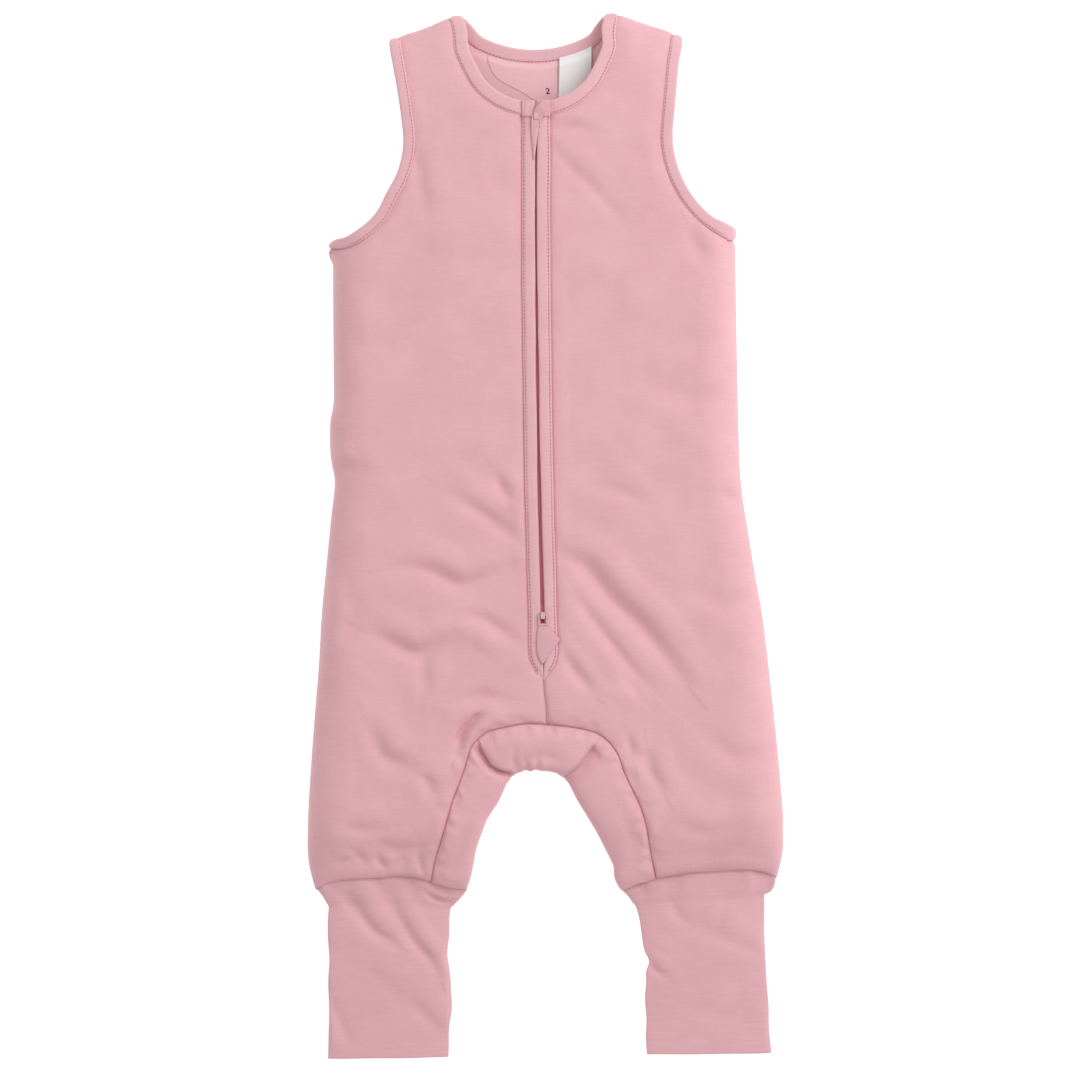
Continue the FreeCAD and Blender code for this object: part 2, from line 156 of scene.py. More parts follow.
def mirror(points):
    """The points with their X turned over."""
    return points * np.array([-1.0] + [1.0] * (points.shape[1] - 1))


def neck_edge(turn, y_low, bulge):
    """The wearer's left half of a neck opening: from its middle over a turn up to the shoulder peak."""
    low = arc3((-turn[0], turn[1]), (0, y_low), turn, 81)[40:]
    return smooth_line(resample(join(low, bulged(turn, (NECK_HALF, Y_PEAK), bulge)), 120), 12)


def armhole_edge():
    """From the underarm up round the armhole to the shoulder's outer end."""
    y_in = Y_PEAK - ARMHOLE_INMOST_DROP
    across, down = X_CHEST - ARMHOLE_HALF, y_in - Y_UNDERARM
    r = (across**2 + down**2) / (2 * across)
    t = np.linspace(math.asin(down / r), 0, 60)
    curve = np.stack([ARMHOLE_HALF + r * (1 - np.cos(t)), y_in - r * np.sin(t)], 1)
    top = (SHOULDER_HALF, Y_PEAK - SHOULDER_DROP)
    return smooth_line(resample(join(curve, [top]), 160), 20)


def side_edge():
    """The side seam from the ankle up to the underarm."""
    fullest = (X_LEG, Y_ANKLE + LEG_FULL_RISE)
    waist = (WAIST_HALF, Y_PEAK - WAIST_DROP)
    run = join(bulged((ANKLE_OUT, Y_ANKLE), fullest, -LEG_BULGE), bulged(fullest, waist, -LEG_BULGE),
               [(X_CHEST, Y_UNDERARM)])
    return smooth_line(resample(run, 240), 40)


def crotch_edge():
    """The inner leg and crotch, from the right ankle over to the left one."""
    right = [(-ANKLE_IN, Y_ANKLE), (-56.5, Y_ANKLE + 10), (-52, Y_ANKLE + 32), (-44, Y_ANKLE + 53),
             (-35, Y_ANKLE + 66)]
    middle = [(-28, Y_CROTCH - 10), (-21, Y_CROTCH - 3), (-6, Y_CROTCH - 1), (3, Y_CROTCH - 3),
              (12.5, Y_CROTCH - 6)]
    left = [(19, Y_CROTCH - 14), (24, Y_CROTCH - 25), (37, Y_ANKLE + 45), (48, Y_ANKLE + 24),
            (ANKLE_IN, Y_ANKLE)]
    return smooth_line(resample(np.array(right + middle + left), 260), 16)


def gusset_half():
    """The gusset seam from the left ankle up to its middle."""
    top, turn = (41.0, Y_GUSSET - 6.0), (60.0, Y_GUSSET - 31.0)
    leg = [(85.0, Y_ANKLE), (79.0, Y_ANKLE + 36), (70.0, Y_ANKLE + 67), turn]
    crest = arc3(top, (0, Y_GUSSET), (-top[0], top[1]), 81)[:41]
    return smooth_line(resample(join(leg, bulged(turn, top, -4.0), crest), 200), 20)


def outer_edge():
    """The side seam and then the armhole seam, from the ankle up to the shoulder."""
    arm = ARM_SEAM[ARM_SEAM[:, 0] < X_CHEST - 0.5]
    return join(SIDE[SIDE[:, 1] < ARM_SEAM[0, 1] - 1], arm)


FRONT_NECK = neck_edge((FRONT_NECK_TURN, Y_FRONT_NECK + FRONT_NECK_RISE), Y_FRONT_NECK, -2.0)
BACK_NECK = neck_edge((BACK_NECK_TURN, Y_BACK_NECK + BACK_NECK_RISE), Y_BACK_NECK, -1.0)
ARMHOLE, SIDE, CROTCH, GUSSET = armhole_edge(), side_edge(), crotch_edge(), gusset_half()
BAND_LAP = 1.5  # how far a binding lies over the cloth it is sewn to
FRONT_NECK_SEAM = offset(FRONT_NECK, -NECK_BAND + BAND_LAP)
BACK_NECK_SEAM = offset(BACK_NECK, -NECK_BAND + BAND_LAP)
ARM_SEAM = offset(ARMHOLE, ARM_BAND - BAND_LAP)
ANKLE = resample(np.array([(ANKLE_IN, Y_ANKLE), (ANKLE_OUT, Y_ANKLE)]), 60)
SHOULDER = np.array([(NECK_HALF, Y_PEAK), (SHOULDER_HALF, Y_PEAK - SHOULDER_DROP)])


# Distances and height fields

def distance(x, y, line):
    """The distance of each point from a polyline."""
    a, b = line[:-1], line[1:]
    d = b - a
    best = np.full(x.shape, 1e9)
    for (ax, ay), (dx, dy) in zip(a, d):
        t = np.clip(((x - ax) * dx + (y - ay) * dy) / (dx * dx + dy * dy + 1e-12), 0, 1)
        best = np.minimum(best, (x - ax - t * dx) ** 2 + (y - ay - t * dy) ** 2)
    return np.sqrt(best)


def rise(d, reach, power=2.0):
    """From 0 at a seam to 1 at a distance, as a rounded shoulder."""
    t = np.clip(1 - d / reach, 0, 1)
    return (1 - t**power) ** (1 / power)


def ease(t):
    """From 0 to 1 with level ends."""
    t = np.clip(t, 0, 1)
    return t * t * (3 - 2 * t)


def bell(t, place, reach):
    """exp(-u^2), with u the distance from the place over the reach."""
    return np.exp(-(((t - place) / reach) ** 2))


def signed_power(t, power):
    """A power of the size of t, with the sign of t."""
    return np.sign(t) * np.abs(t) ** power


def value_noise(x, y, scale, seed):
    """Smooth noise in -1..1: random values on a square lattice, joined by a cubic ease."""
    table = np.random.default_rng(seed).uniform(-1, 1, (64, 64))
    u, v = x / scale + 31.7, y / scale + 17.3
    i, j = np.floor(u).astype(int), np.floor(v).astype(int)
    fu, fv = ease(u - i), ease(v - j)
    a, b = table[i % 64, j % 64], table[(i + 1) % 64, j % 64]
    c, d = table[i % 64, (j + 1) % 64], table[(i + 1) % 64, (j + 1) % 64]
    return (a * (1 - fu) + b * fu) * (1 - fv) + (c * (1 - fu) + d * fu) * fv


def wander(s, scale, seed, row=0.0):
    """Smooth noise in -1..1 along a length."""
    return value_noise(s, s * 0 + row, scale, seed)


def drawn_line(points, rounds):
    """An even polyline through a few given points, a little smoothed."""
    return resample(smooth_line(resample(np.array(points, float), 24), rounds), 24)


def nearest(x, y, line, marks):
    """The distance from a polyline, the same with a sign (positive on the left), and the mark there."""
    best, signed, where = np.full(x.shape, 1e9), np.zeros(x.shape), np.zeros(x.shape)
    for (ax, ay), (dx, dy), low, high in zip(line, np.diff(line, axis=0), marks, marks[1:]):
        t = np.clip(((x - ax) * dx + (y - ay) * dy) / (dx * dx + dy * dy), 0, 1)
        ex, ey = x - ax - t * dx, y - ay - t * dy
        r = np.hypot(ex, ey)
        closer = r < best
        best = np.where(closer, r, best)
        signed = np.where(closer, np.sign(dx * ey - dy * ex) * r, signed)
        where = np.where(closer, low + t * (high - low), where)
    return best, signed, where


def fold(x, y, points, depth, width, side):
    """A soft valley along a line with a ridge on one side, dying out at both ends.

    The height is minus the depth times a bell of the distance across, plus a wider and lower bell set
    to one side, all times an ease along the line.
    """
    line = drawn_line(points, 4)
    best, signed, where = nearest(x, y, line, lengths(line) / lengths(line)[-1])
    end = np.sin(np.pi * np.clip(0.06 + 0.88 * where, 0, 1)) ** 0.8
    reach = bell(np.maximum(best, 3 * width), 3 * width, width)
    valley, ridge = bell(signed, 0, width), bell(signed, side * 2.1 * width, 1.7 * width)
    return end * reach * depth * (0.55 * ridge - valley)


def crease(x, y, points, depth, near, far, side):
    """A step down along a line, steep on one side and easing back over a wider band on the other.

    The height is minus the depth times exp(-|t|^1.5), with t the distance across over the width of its
    side, times an ease from the start of the line; it stays full at the line's end.
    """
    line = drawn_line(points, 3)
    best, signed, where = nearest(x, y, line, np.linspace(0, 1, len(line)))
    width = np.where(signed * side > 0, near, far)
    return -depth * ease(where / 0.35) * np.exp(-((best / width) ** 1.5))


# Rise of the cuff seam at shares of the way from the inner to the outer end of each ankle
ARCH_AT = np.array([0.0, 0.12, 0.22, 0.32, 0.43, 0.6, 0.72, 0.85, 0.94, 1.0])
ARCH_RIGHT = np.array([-0.5, 1.2, 5.0, 8.4, 10.2, 8.8, 8.2, 7.5, 5.0, 0.6])
ARCH_LEFT = np.array([-3.0, 2.6, 5.4, 7.8, 9.5, 10.4, 11.3, 11.2, 9.0, 5.2])


def arch_of_ankle(x, y):
    """How far the cuff seam rises across a leg, dying out above and below the ankle."""
    share = np.linspace(0, 1, 121)
    right, left = (smooth_line(np.interp(share, ARCH_AT, up), 14) for up in (ARCH_RIGHT, ARCH_LEFT))
    across = np.clip((np.abs(x) - ANKLE_IN) / (ANKLE_OUT - ANKLE_IN), 0, 1)
    up = np.where(x > 0, np.interp(across, share, left), np.interp(across, share, right))
    return up * bell(y, Y_ANKLE, np.where(y < Y_ANKLE, 17.0, 32.0))


# Pushes on the lying cloth: place, reach across and along, and the push across and along
PUSHES = [
    ((-103, 300), (26, 50), (2.2, 0.0)),
    ((-132, 237), (30, 22), (3.0, -4.4)),
    ((-156, 219), (12, 9), (-3.8, 0.0)),
    ((-155, 145), (75, 125), (-3.8, 0.0)),
    ((155, 145), (75, 125), (-2.6, 0.0)),
    ((-160, 74), (34, 24), (-3.6, 0.0)),
    ((160, -5), (40, 42), (-1.6, 0.0)),
    ((-160, -20), (40, 60), (-2.0, 0.0)),
    ((-110, 374), (18, 15), (-0.8, 2.0)),
    ((110, 374), (18, 15), (1.6, 1.2)),
    ((-61, 389), (18, 18), (3.4, 1.8)),
    ((61, 389), (18, 18), (-5.0, 1.8)),
    ((-83, 385), (22, 12), (0.0, 1.5)),
    ((87, 386), (24, 13), (0.0, 2.5)),
    ((0, 130), (70, 155), (-1.7, 0.0)),
    ((-115, -296), (70, 22), (-2.4, 0.0)),
    ((63, -256), (12, 12), (-4.5, 0.0)),
    ((-25, -143), (22, 12), (0.3, 2.4)),
    ((-48, -152), (13, 12), (-1.4, 1.3)),
    ((57, -168), (20, 36), (-2.2, -0.4)),
    ((82, -248), (14, 28), (-2.2, 0.0)),
    ((-84, -256), (14, 22), (-2.0, 0.0)),
    ((-170, -262), (25, 35), (-2.2, 0.0)),
    ((170, -262), (25, 30), (1.9, 0.0)),
    ((152, 232), (16, 10), (0.8, 1.8)),
    ((-153, 225), (9, 7), (-2.2, 0.8)),
    ((3, -140), (14, 22), (1.8, 0.0)),
]


def settled(points):
    """The points moved by each push times exp(-u^4), with u their distance from its place over its reach."""
    x, y = points[:, 0], points[:, 1]
    moved = points.copy()
    moved[:, 1] += arch_of_ankle(x, y)
    for (px, py), (rx, ry), push in PUSHES:
        share = np.exp(-((((x - px) / rx) ** 2 + ((y - py) / ry) ** 2) ** 2))
        moved[:, :2] += share[:, None] * push
    return moved


def side_height(y):
    """The height of the flat top of the suit along its length."""
    above = np.maximum(y - Y_ANKLE, 0)
    up = 0.36 * rise(above, 11.0) + 0.64 * ease(above / 54.0)
    down = ease((y - Y_FRONT_NECK + 12) / (Y_PEAK - Y_FRONT_NECK + 12))
    return Z_ANKLE + (Z_FRONT - Z_ANKLE) * up - (Z_FRONT - Z_SHOULDER) * down


# Grids: a panel is a map from a square to the plane between two edges

def winslow(grid, rounds=400):
    """Even out the inside of a grid so that its lines stay smooth near bent edges."""
    p = grid.copy()
    for _ in range(rounds):
        du = 0.5 * (p[2:, 1:-1] - p[:-2, 1:-1])
        dv = 0.5 * (p[1:-1, 2:] - p[1:-1, :-2])
        a = (dv**2).sum(-1, keepdims=True)
        c = (du**2).sum(-1, keepdims=True)
        b = (du * dv).sum(-1, keepdims=True)
        cross = 0.25 * (p[2:, 2:] - p[2:, :-2] - p[:-2, 2:] + p[:-2, :-2])
        new = (a * (p[2:, 1:-1] + p[:-2, 1:-1]) + c * (p[1:-1, 2:] + p[1:-1, :-2]) - 2 * b * cross)
        p[1:-1, 1:-1] += 0.8 * (new / (2 * (a + c) + 1e-9) - p[1:-1, 1:-1])
    return p


def refine(grid, rows, columns):
    """The grid resampled to more rows and columns, straight between its points."""
    n, m = grid.shape[:2]
    r, c = np.linspace(0, n - 1, rows), np.linspace(0, m - 1, columns)
    i, j = np.minimum(r.astype(int), n - 2), np.minimum(c.astype(int), m - 2)
    fr, fc = (r - i)[:, None, None], (c - j)[None, :, None]
    near, far = (grid[np.ix_(i + k, j)] * (1 - fc) + grid[np.ix_(i + k, j + 1)] * fc for k in (0, 1))
    return near * (1 - fr) + far * fr


def matched(first, second, shares, n):
    """n points along each of two edges; pairs of shares of their lengths say which places face each other."""
    shares = np.array(shares, float)
    travel = np.concatenate([[0], np.cumsum(np.abs(np.diff(shares, axis=0)).mean(1))])
    t = np.linspace(0, travel[-1], n)
    return [along(edge, np.interp(t, travel, shares[:, k]) * lengths(edge)[-1])
            for k, edge in enumerate((first, second))]


def place_of(points, target):
    """The share of the length of a polyline at its point nearest to a target."""
    k = np.argmin(np.linalg.norm(points - np.array(target), axis=1))
    return lengths(points)[k] / lengths(points)[-1]


def panel_grid(inner, outer, marks, rows, columns):
    """A smooth grid between an inner and an outer edge, whose marks name places that share a row."""
    shares = [(0, 0)] + [(place_of(inner, a), place_of(outer, b)) for a, b in marks] + [(1, 1)]
    left, right = matched(inner, outer, shares, 161)
    c = np.linspace(0, 1, 41)[None, :, None]
    return refine(winslow(left[:, None] * (1 - c) + right[:, None] * c), rows, columns)


def lines_in(rows, columns):
    """How many grid lines each point lies in from the border of its grid."""
    r, c = (np.minimum(np.arange(n), n - 1 - np.arange(n)) for n in (rows, columns))
    return np.minimum(r[:, None], c[None, :])


# Meshes

def linked(name, data):
    """A new object with this data, put into the scene."""
    made = bpy.data.objects.new(name, data)
    bpy.context.scene.collection.objects.link(made)
    return made


def make_mesh(name, points, quads, material, painted_shade=None, triangles=()):
    """An object at the origin from points in millimetres, four-cornered faces and perhaps triangles.

    The painted shade is a number on each point that mixes the colour of its cloth towards a dark red, as
    painted shadow in a seam, a crease or a gap.
    """
    points = settled(np.asarray(points, float).reshape(-1, 3)) * MM
    corners = np.concatenate([np.ravel(quads), np.ravel(triangles)]).astype(int)
    counts = np.repeat([4, 3], [len(quads), len(triangles)])
    mesh = bpy.data.meshes.new(name)
    mesh.vertices.add(len(points))
    mesh.vertices.foreach_set("co", points.ravel())
    mesh.loops.add(len(corners))
    mesh.loops.foreach_set("vertex_index", corners)
    mesh.polygons.add(len(counts))
    mesh.polygons.foreach_set("loop_start", np.cumsum(counts) - counts)
    mesh.polygons.foreach_set("loop_total", counts)
    mesh.update(calc_edges=True)
    mesh.validate()
    mesh.polygons.foreach_set("use_smooth", np.full(len(mesh.polygons), True))
    if painted_shade is not None:
        layer = mesh.attributes.new("painted_shade", "FLOAT", "POINT")
        layer.data.foreach_set("value", np.ascontiguousarray(painted_shade, np.float32).ravel())
    mesh.materials.append(material)
    return linked(name, mesh)


def grid_faces(rows, columns, wrap_rows=False, wrap_columns=False):
    """The faces between the points of a grid, counted row by row."""
    r = np.arange(rows if wrap_rows else rows - 1)
    c = np.arange(columns if wrap_columns else columns - 1)
    r, c = np.meshgrid(r, c, indexing="ij")
    r2, c2 = (r + 1) % rows, (c + 1) % columns
    corners = [row * columns + column for row, column in ((r, c), (r, c2), (r2, c2), (r2, c))]
    return np.stack(corners, -1).reshape(-1, 4)


def rim(rows, columns):
    """The grid's border as a loop of vertex numbers, anticlockwise in (column, row)."""
    n = np.arange(rows * columns).reshape(rows, columns)
    return np.concatenate([n[0, :-1], n[:-1, -1], n[-1, :0:-1], n[:0:-1, 0]])


def outward(piece):
    """Point the faces of a closed mesh out of it."""
    mesh = piece.data
    n = len(mesh.vertices)
    co = np.empty(n * 3)
    mesh.vertices.foreach_get("co", co)
    co = co.reshape(-1, 3)
    mesh.calc_loop_triangles()
    tri = np.empty(len(mesh.loop_triangles) * 3, int)
    mesh.loop_triangles.foreach_get("vertices", tri)
    a, b, c = (co[tri.reshape(-1, 3)[:, k]] for k in range(3))
    if (np.cross(a, b) * c).sum() < 0:
        mesh.flip_normals()
    return piece


def pad(name, top, bottom, material, painted_shade=None):
    """A closed piece: two sheets on one grid, with the same painted shade, joined by a wall round their
    border.
    """
    rows, columns = top.shape[:2]
    count = rows * columns
    up = grid_faces(rows, columns)
    border = rim(rows, columns)
    following = np.roll(border, -1)
    wall = np.stack([border, border + count, following + count, following], 1)
    faces = np.concatenate([up, up[:, ::-1] + count, wall])
    both = None if painted_shade is None else np.stack([painted_shade, painted_shade])
    return outward(make_mesh(name, np.stack([top, bottom]), faces, material, both))


def fix_winding(piece):
    """Make the faces of a closed mesh agree with each other."""
    work = bmesh.new()
    work.from_mesh(piece.data)
    bmesh.ops.recalc_face_normals(work, faces=work.faces)
    work.to_mesh(piece.data)
    work.free()
    return piece


def tube(name, points, material, painted_shade, closed=False):
    """Rings of points joined along and around; the ends of an open tube are closed by fans."""
    n, m = points.shape[:2]
    verts, k = points.reshape(-1, 3), np.arange(m)
    painted_shade = np.broadcast_to(painted_shade, (n, m)).ravel()
    fans = ()
    if not closed:
        verts = np.concatenate([verts, points[[0, -1]].mean(1)])
        painted_shade = np.append(painted_shade, [0, 0])
        fans = np.concatenate([np.stack([row * m + k, row * m + (k + 1) % m, np.full(m, centre)], 1)
                               for row, centre in ((0, n * m), (n - 1, n * m + 1))])
    quads = grid_faces(n, m, wrap_rows=closed, wrap_columns=True)
    return outward(fix_winding(make_mesh(name, verts, quads, material, painted_shade, fans)))


def swept(name, path, section, material, up, painted_shade, closed=False):
    """A tube: for each row of a path, a closed section (across, up)."""
    way = np.roll(path, -1, 0) - np.roll(path, 1, 0) if closed else np.gradient(path, axis=0)
    way /= np.linalg.norm(way, axis=1)[:, None]
    across = np.cross(way, up)
    across /= np.linalg.norm(across, axis=1)[:, None]
    lift = np.cross(across, way)
    points = path[:, None] + section[..., :1] * across[:, None] + section[..., 1:] * lift[:, None]
    return tube(name, points, material, painted_shade, closed)


def declare(piece, slot, *nodes):
    """The piece rides on the garment and stands for these nodes of the model, which are hidden; the slot is
    not used.
    """
    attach(piece, BODY)
    if nodes:
        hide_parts(*nodes)
    return piece


# Materials

# The colour of the painted shade: the dark red that seams, creases and gaps take on in shadow.
PAINTED_SHADE_COLOUR = (0.50, 0.13, 0.19)


def new_material(name):
    material = bpy.data.materials.new(name)
    material.use_nodes = True
    tree = material.node_tree
    return material, tree, tree.nodes["Principled BSDF"]


def math_node(tree, operation, a, b=0.0):
    made = tree.nodes.new("ShaderNodeMath")
    made.operation = operation
    for socket, value in zip(made.inputs, (a, b)):
        if isinstance(value, (int, float)):
            socket.default_value = value
        else:
            tree.links.new(value, socket)
    return made.outputs[0]


def scaled_coordinates(tree, scale):
    where = tree.nodes.new("ShaderNodeTexCoord")
    mapping = tree.nodes.new("ShaderNodeMapping")
    mapping.inputs["Scale"].default_value = scale
    tree.links.new(where.outputs["Object"], mapping.inputs["Vector"])
    return mapping.outputs["Vector"]


def noise(tree, scale, detail):
    """Cloudy noise from 0 to 1, with a scale in cycles per metre for each direction."""
    made = tree.nodes.new("ShaderNodeTexNoise")
    made.inputs["Scale"].default_value = 1.0
    made.inputs["Detail"].default_value = detail
    made.inputs["Roughness"].default_value = 0.55
    tree.links.new(scaled_coordinates(tree, scale), made.inputs["Vector"])
    return made.outputs["Fac"]


def weighted(tree, *terms, start=0.0):
    """A start plus the sum of some heights, each times its weight."""
    for height, weight in terms:
        start = math_node(tree, "ADD", math_node(tree, "MULTIPLY", height, weight), start)
    return start


def knit_height(tree, wale, course):
    """Jersey stitches: courses bent into small Vs by the wales, as a height from 0 to 1."""
    where = scaled_coordinates(tree, (1 / wale, 1 / course, 1 / wale))
    split = tree.nodes.new("ShaderNodeSeparateXYZ")
    tree.links.new(where, split.inputs[0])
    zigzag = math_node(tree, "PINGPONG", split.outputs["X"], 0.5)
    shifted = weighted(tree, (zigzag, 0.9), start=split.outputs["Y"])
    rows = math_node(tree, "SINE", math_node(tree, "MULTIPLY", shifted, 2 * math.pi))
    columns = math_node(tree, "SINE", math_node(tree, "MULTIPLY", split.outputs["X"], 2 * math.pi))
    return weighted(tree, (rows, 0.3), (columns, 0.18), start=0.5)


def tone_ramp(tree, height, dark, light, low=0.0, high=1.0):
    """The colour that goes from a dark to a light tone as a height goes from low to high."""
    ramp = tree.nodes.new("ShaderNodeValToRGB")
    for element, place, colour in zip(ramp.color_ramp.elements, (low, high), (dark, light)):
        element.position, element.color = place, (*colour, 1)
    tree.links.new(height, ramp.inputs["Fac"])
    return ramp.outputs["Color"]


def add_relief(tree, shader, height, deep, strength=1.0):
    """A bump of the surface by a height, whose step from 0 to 1 is so many metres deep."""
    bump = tree.nodes.new("ShaderNodeBump")
    bump.inputs["Strength"].default_value = strength
    bump.inputs["Distance"].default_value = deep
    tree.links.new(height, bump.inputs["Height"])
    tree.links.new(bump.outputs["Normal"], shader.inputs["Normal"])


def set_values(shader, values):
    for key, value in values.items():
        shader.inputs[key].default_value = value


def jersey(name, light, dark, streak=0.5, wale=0.0009, course=0.0008):
    """Brushed cotton jersey: two close tones in long streaks across, small stitches and a soft sheen."""
    material, tree, shader = new_material(name)
    streaks = noise(tree, (60, 1100, 60), 2.0)
    cloudy = noise(tree, (28, 34, 28), 3.0)
    fuzz = noise(tree, (900, 900, 900), 2.0)
    mixed = weighted(tree, (streaks, streak), (cloudy, 1 - streak), (fuzz, 0.5), start=-0.25)
    # Painted shade: the cloth's colour mixed towards the painted shade colour by the shade number on each
    # point.
    painted_shade = tree.nodes.new("ShaderNodeAttribute")
    painted_shade.attribute_name = "painted_shade"
    painted_shade_mix = tree.nodes.new("ShaderNodeMix")
    painted_shade_mix.data_type = "RGBA"
    tree.links.new(painted_shade.outputs["Fac"], painted_shade_mix.inputs[0])
    tree.links.new(tone_ramp(tree, mixed, dark, light, 0.25, 0.75), painted_shade_mix.inputs[6])
    painted_shade_mix.inputs[7].default_value = (*PAINTED_SHADE_COLOUR, 1)
    tree.links.new(painted_shade_mix.outputs[2], shader.inputs["Base Color"])
    relief = weighted(tree, (knit_height(tree, wale, course), 0.6), (fuzz, 0.7))
    add_relief(tree, shader, relief, 0.00008, 0.6)
    set_values(shader, {"Roughness": 0.85, "Specular IOR Level": 0.2, "Sheen Weight": 0.25,
                        "Sheen Roughness": 0.6, "Sheen Tint": (1.0, 0.86, 0.89, 1)})
    return material


def plain(name, colour, rough, scale=300.0, change=0.15):
    """A simple finish with a faint mottling of its tone and relief."""
    material, tree, shader = new_material(name)
    spots = noise(tree, (scale, scale, scale), 3.0)
    dark, light = ([min(1, c * share) for c in colour] for share in (1 - change, 1 + change))
    tree.links.new(tone_ramp(tree, spots, dark, light), shader.inputs["Base Color"])
    add_relief(tree, shader, spots, 0.00003)
    set_values(shader, {"Roughness": rough})
    return material


SHELL = jersey("shell_jersey", (0.81, 0.462, 0.495), (0.73, 0.388, 0.425))
CUFF = jersey("cuff_jersey", (0.81, 0.463, 0.50), (0.73, 0.393, 0.43), streak=0.6)
BINDING = jersey("binding_jersey", (0.80, 0.475, 0.51), (0.73, 0.405, 0.44), wale=0.0008, course=0.0007)
LINING = jersey("lining_jersey", (0.86, 0.545, 0.575), (0.80, 0.48, 0.515), wale=0.0008, course=0.0007)
RIBBON = jersey("pull_ribbon_weave", (0.77, 0.43, 0.47), (0.68, 0.36, 0.405), wale=0.0007, course=0.0005)
THREAD = plain("stitch_thread", (0.58, 0.19, 0.26), 0.6, scale=2000)
THREAD_LIGHT = plain("light_thread", (0.90, 0.62, 0.66), 0.55, scale=2000)
# Zip tape: partly its own colour, partly painted bounce light, made redder and lighter so the deep zip gap
# looks lit by the pink cloth round it.
TAPE_WITH_PAINTED_BOUNCE = plain("zip_tape_with_painted_bounce", (0.78, 0.17, 0.25), 0.9, scale=1500)
# Zip coil, also used on the stops: partly its own colour, partly painted bounce light, made redder so the
# coil in the shadowed zip gap looks lit by the pink cloth round it.
COIL_WITH_PAINTED_BOUNCE = plain("zip_nylon_with_painted_bounce", (0.86, 0.27, 0.35), 0.5, scale=800)
ENAMEL = plain("slider_enamel", (0.74, 0.42, 0.46), 0.35, scale=600)
SATIN = plain("label_satin", (0.86, 0.86, 0.85), 0.45, scale=1200, change=0.03)
INK = plain("print_ink", (0.05, 0.04, 0.05), 0.7)


# Front panels

FRONT_GRID = (400, 110)  # rows and columns
PAD_EDGE, PAD_THICK = 1.2, 6.0  # thickness of the pad in its seams and beyond them
FOLD_DEPTH = 1.2  # a factor on the depth of every front fold
# Each fold: its line, its depth, its width, and the side of its ridge
WEARER_LEFT_FOLDS = [
    ([(13, 303), (28, 307), (42, 305)], 1.6, 4.5, 1),
    ([(13, 291), (24, 278), (40, 263), (60, 240)], 1.1, 5.0, 1),
    ([(14, -14), (30, -18), (42, -34), (52, -48), (68, -61), (80, -76), (93, -93), (105, -109)], 4.2, 7.5, 1),
    ([(25, -45), (37, -62), (62, -95), (78, -113)], 2.4, 5.0, -1),
    ([(15, -86), (23, -101), (36, -116)], 2.4, 5.0, 1),
    ([(44, 37), (60, 33), (78, 26)], 1.4, 6.0, 1),
    ([(138, 30), (150, 26)], 2.0, 5.0, 1),
    ([(60, -104), (72, -121)], 1.4, 4.5, -1),
    ([(64, -149), (68, -166)], 1.8, 4.0, 1),
    ([(77, -158), (79, -176), (88, -192)], 2.2, 5.0, 1),
    ([(114, 232), (127, 204)], 1.6, 7.0, 1),
    ([(110, -40), (135, -52), (160, -48)], 1.6, 9.0, 1),
    ([(120, -150), (140, -165), (165, -166)], 1.5, 8.0, -1),
    ([(95, -215), (118, -226), (140, -222)], 1.5, 7.0, 1),
    ([(95, 110), (120, 100), (146, 104)], 0.9, 8.0, 1),
]
WEARER_RIGHT_FOLDS = [
    ([(-112, -23), (-88, -22), (-60, -37), (-25, -23)], 3.2, 6.5, 1),
    ([(-127, -71), (-110, -80), (-94, -88), (-68, -74)], 3.4, 6.5, 1),
    ([(-66, -58), (-46, -60), (-18, -79)], 2.4, 5.5, -1),
    ([(-70, 35), (-42, 17), (-16, -3)], 2.2, 6.0, 1),
    ([(-33, 47), (-24, 28)], 1.8, 4.5, 1),
    ([(-152, 55), (-134, 54)], 2.0, 5.0, 1),
    ([(-62, -122), (-46, -119), (-30, -122)], 2.4, 6.0, -1),
    ([(-66, -160), (-61, -143), (-48, -130)], 3.4, 5.0, -1),
    ([(-90, -88), (-90, -115)], 1.6, 5.5, 1),
    ([(-131, -140), (-121, -163), (-102, -172)], 2.8, 6.5, 1),
    ([(-92, -176), (-83, -192)], 1.8, 5.0, 1),
    ([(-154, -215), (-136, -219), (-117, -217)], 2.0, 6.0, 1),
    ([(-124, -233), (-110, -237), (-95, -234)], 1.8, 5.0, 1),
    ([(-143, -238), (-140, -243), (-136, -249)], 1.6, 3.6, 1),
    ([(-127, -243), (-125, -249), (-121, -256)], 1.8, 3.2, 1),
    ([(-95, -240), (-93, -248), (-91, -258)], 1.6, 3.6, -1),
    ([(-156, -248), (-151, -246.5), (-146, -246)], 1.0, 2.6, 1),
    ([(-93, 294), (-89, 268), (-82, 241)], 1.2, 6.0, 1),
    ([(-148, 150), (-128, 144), (-104, 150)], 0.9, 8.0, 1),
    ([(-150, -20), (-140, -50), (-146, -84)], 1.4, 8.0, -1),
]
FRONT_FOLDS = {1: WEARER_LEFT_FOLDS, -1: WEARER_RIGHT_FOLDS}

# Each crease: its line, its depth, its width on the near and on the far side, and which side is near
WEARER_RIGHT_CREASES = [
    ([(-66, -157), (-65, -148), (-60, -142), (-51, -133)], 2.8, 1.3, 6.0, 1),
    ([(-69, -157), (-66.5, -163), (-62, -167)], 1.4, 1.3, 5.0, -1),
]
FRONT_CREASES = {1: [], -1: WEARER_RIGHT_CREASES}


def lumps(x, y):
    """The unevenness of the wadding: noise at three scales."""
    wide = 1.5 * value_noise(x, y, 62, 3)
    middle = 0.75 * value_noise(x + 0.35 * y, y, 27, 5)
    small = 0.22 * value_noise(x, y - 0.2 * x, 11, 9)
    return wide + middle + small


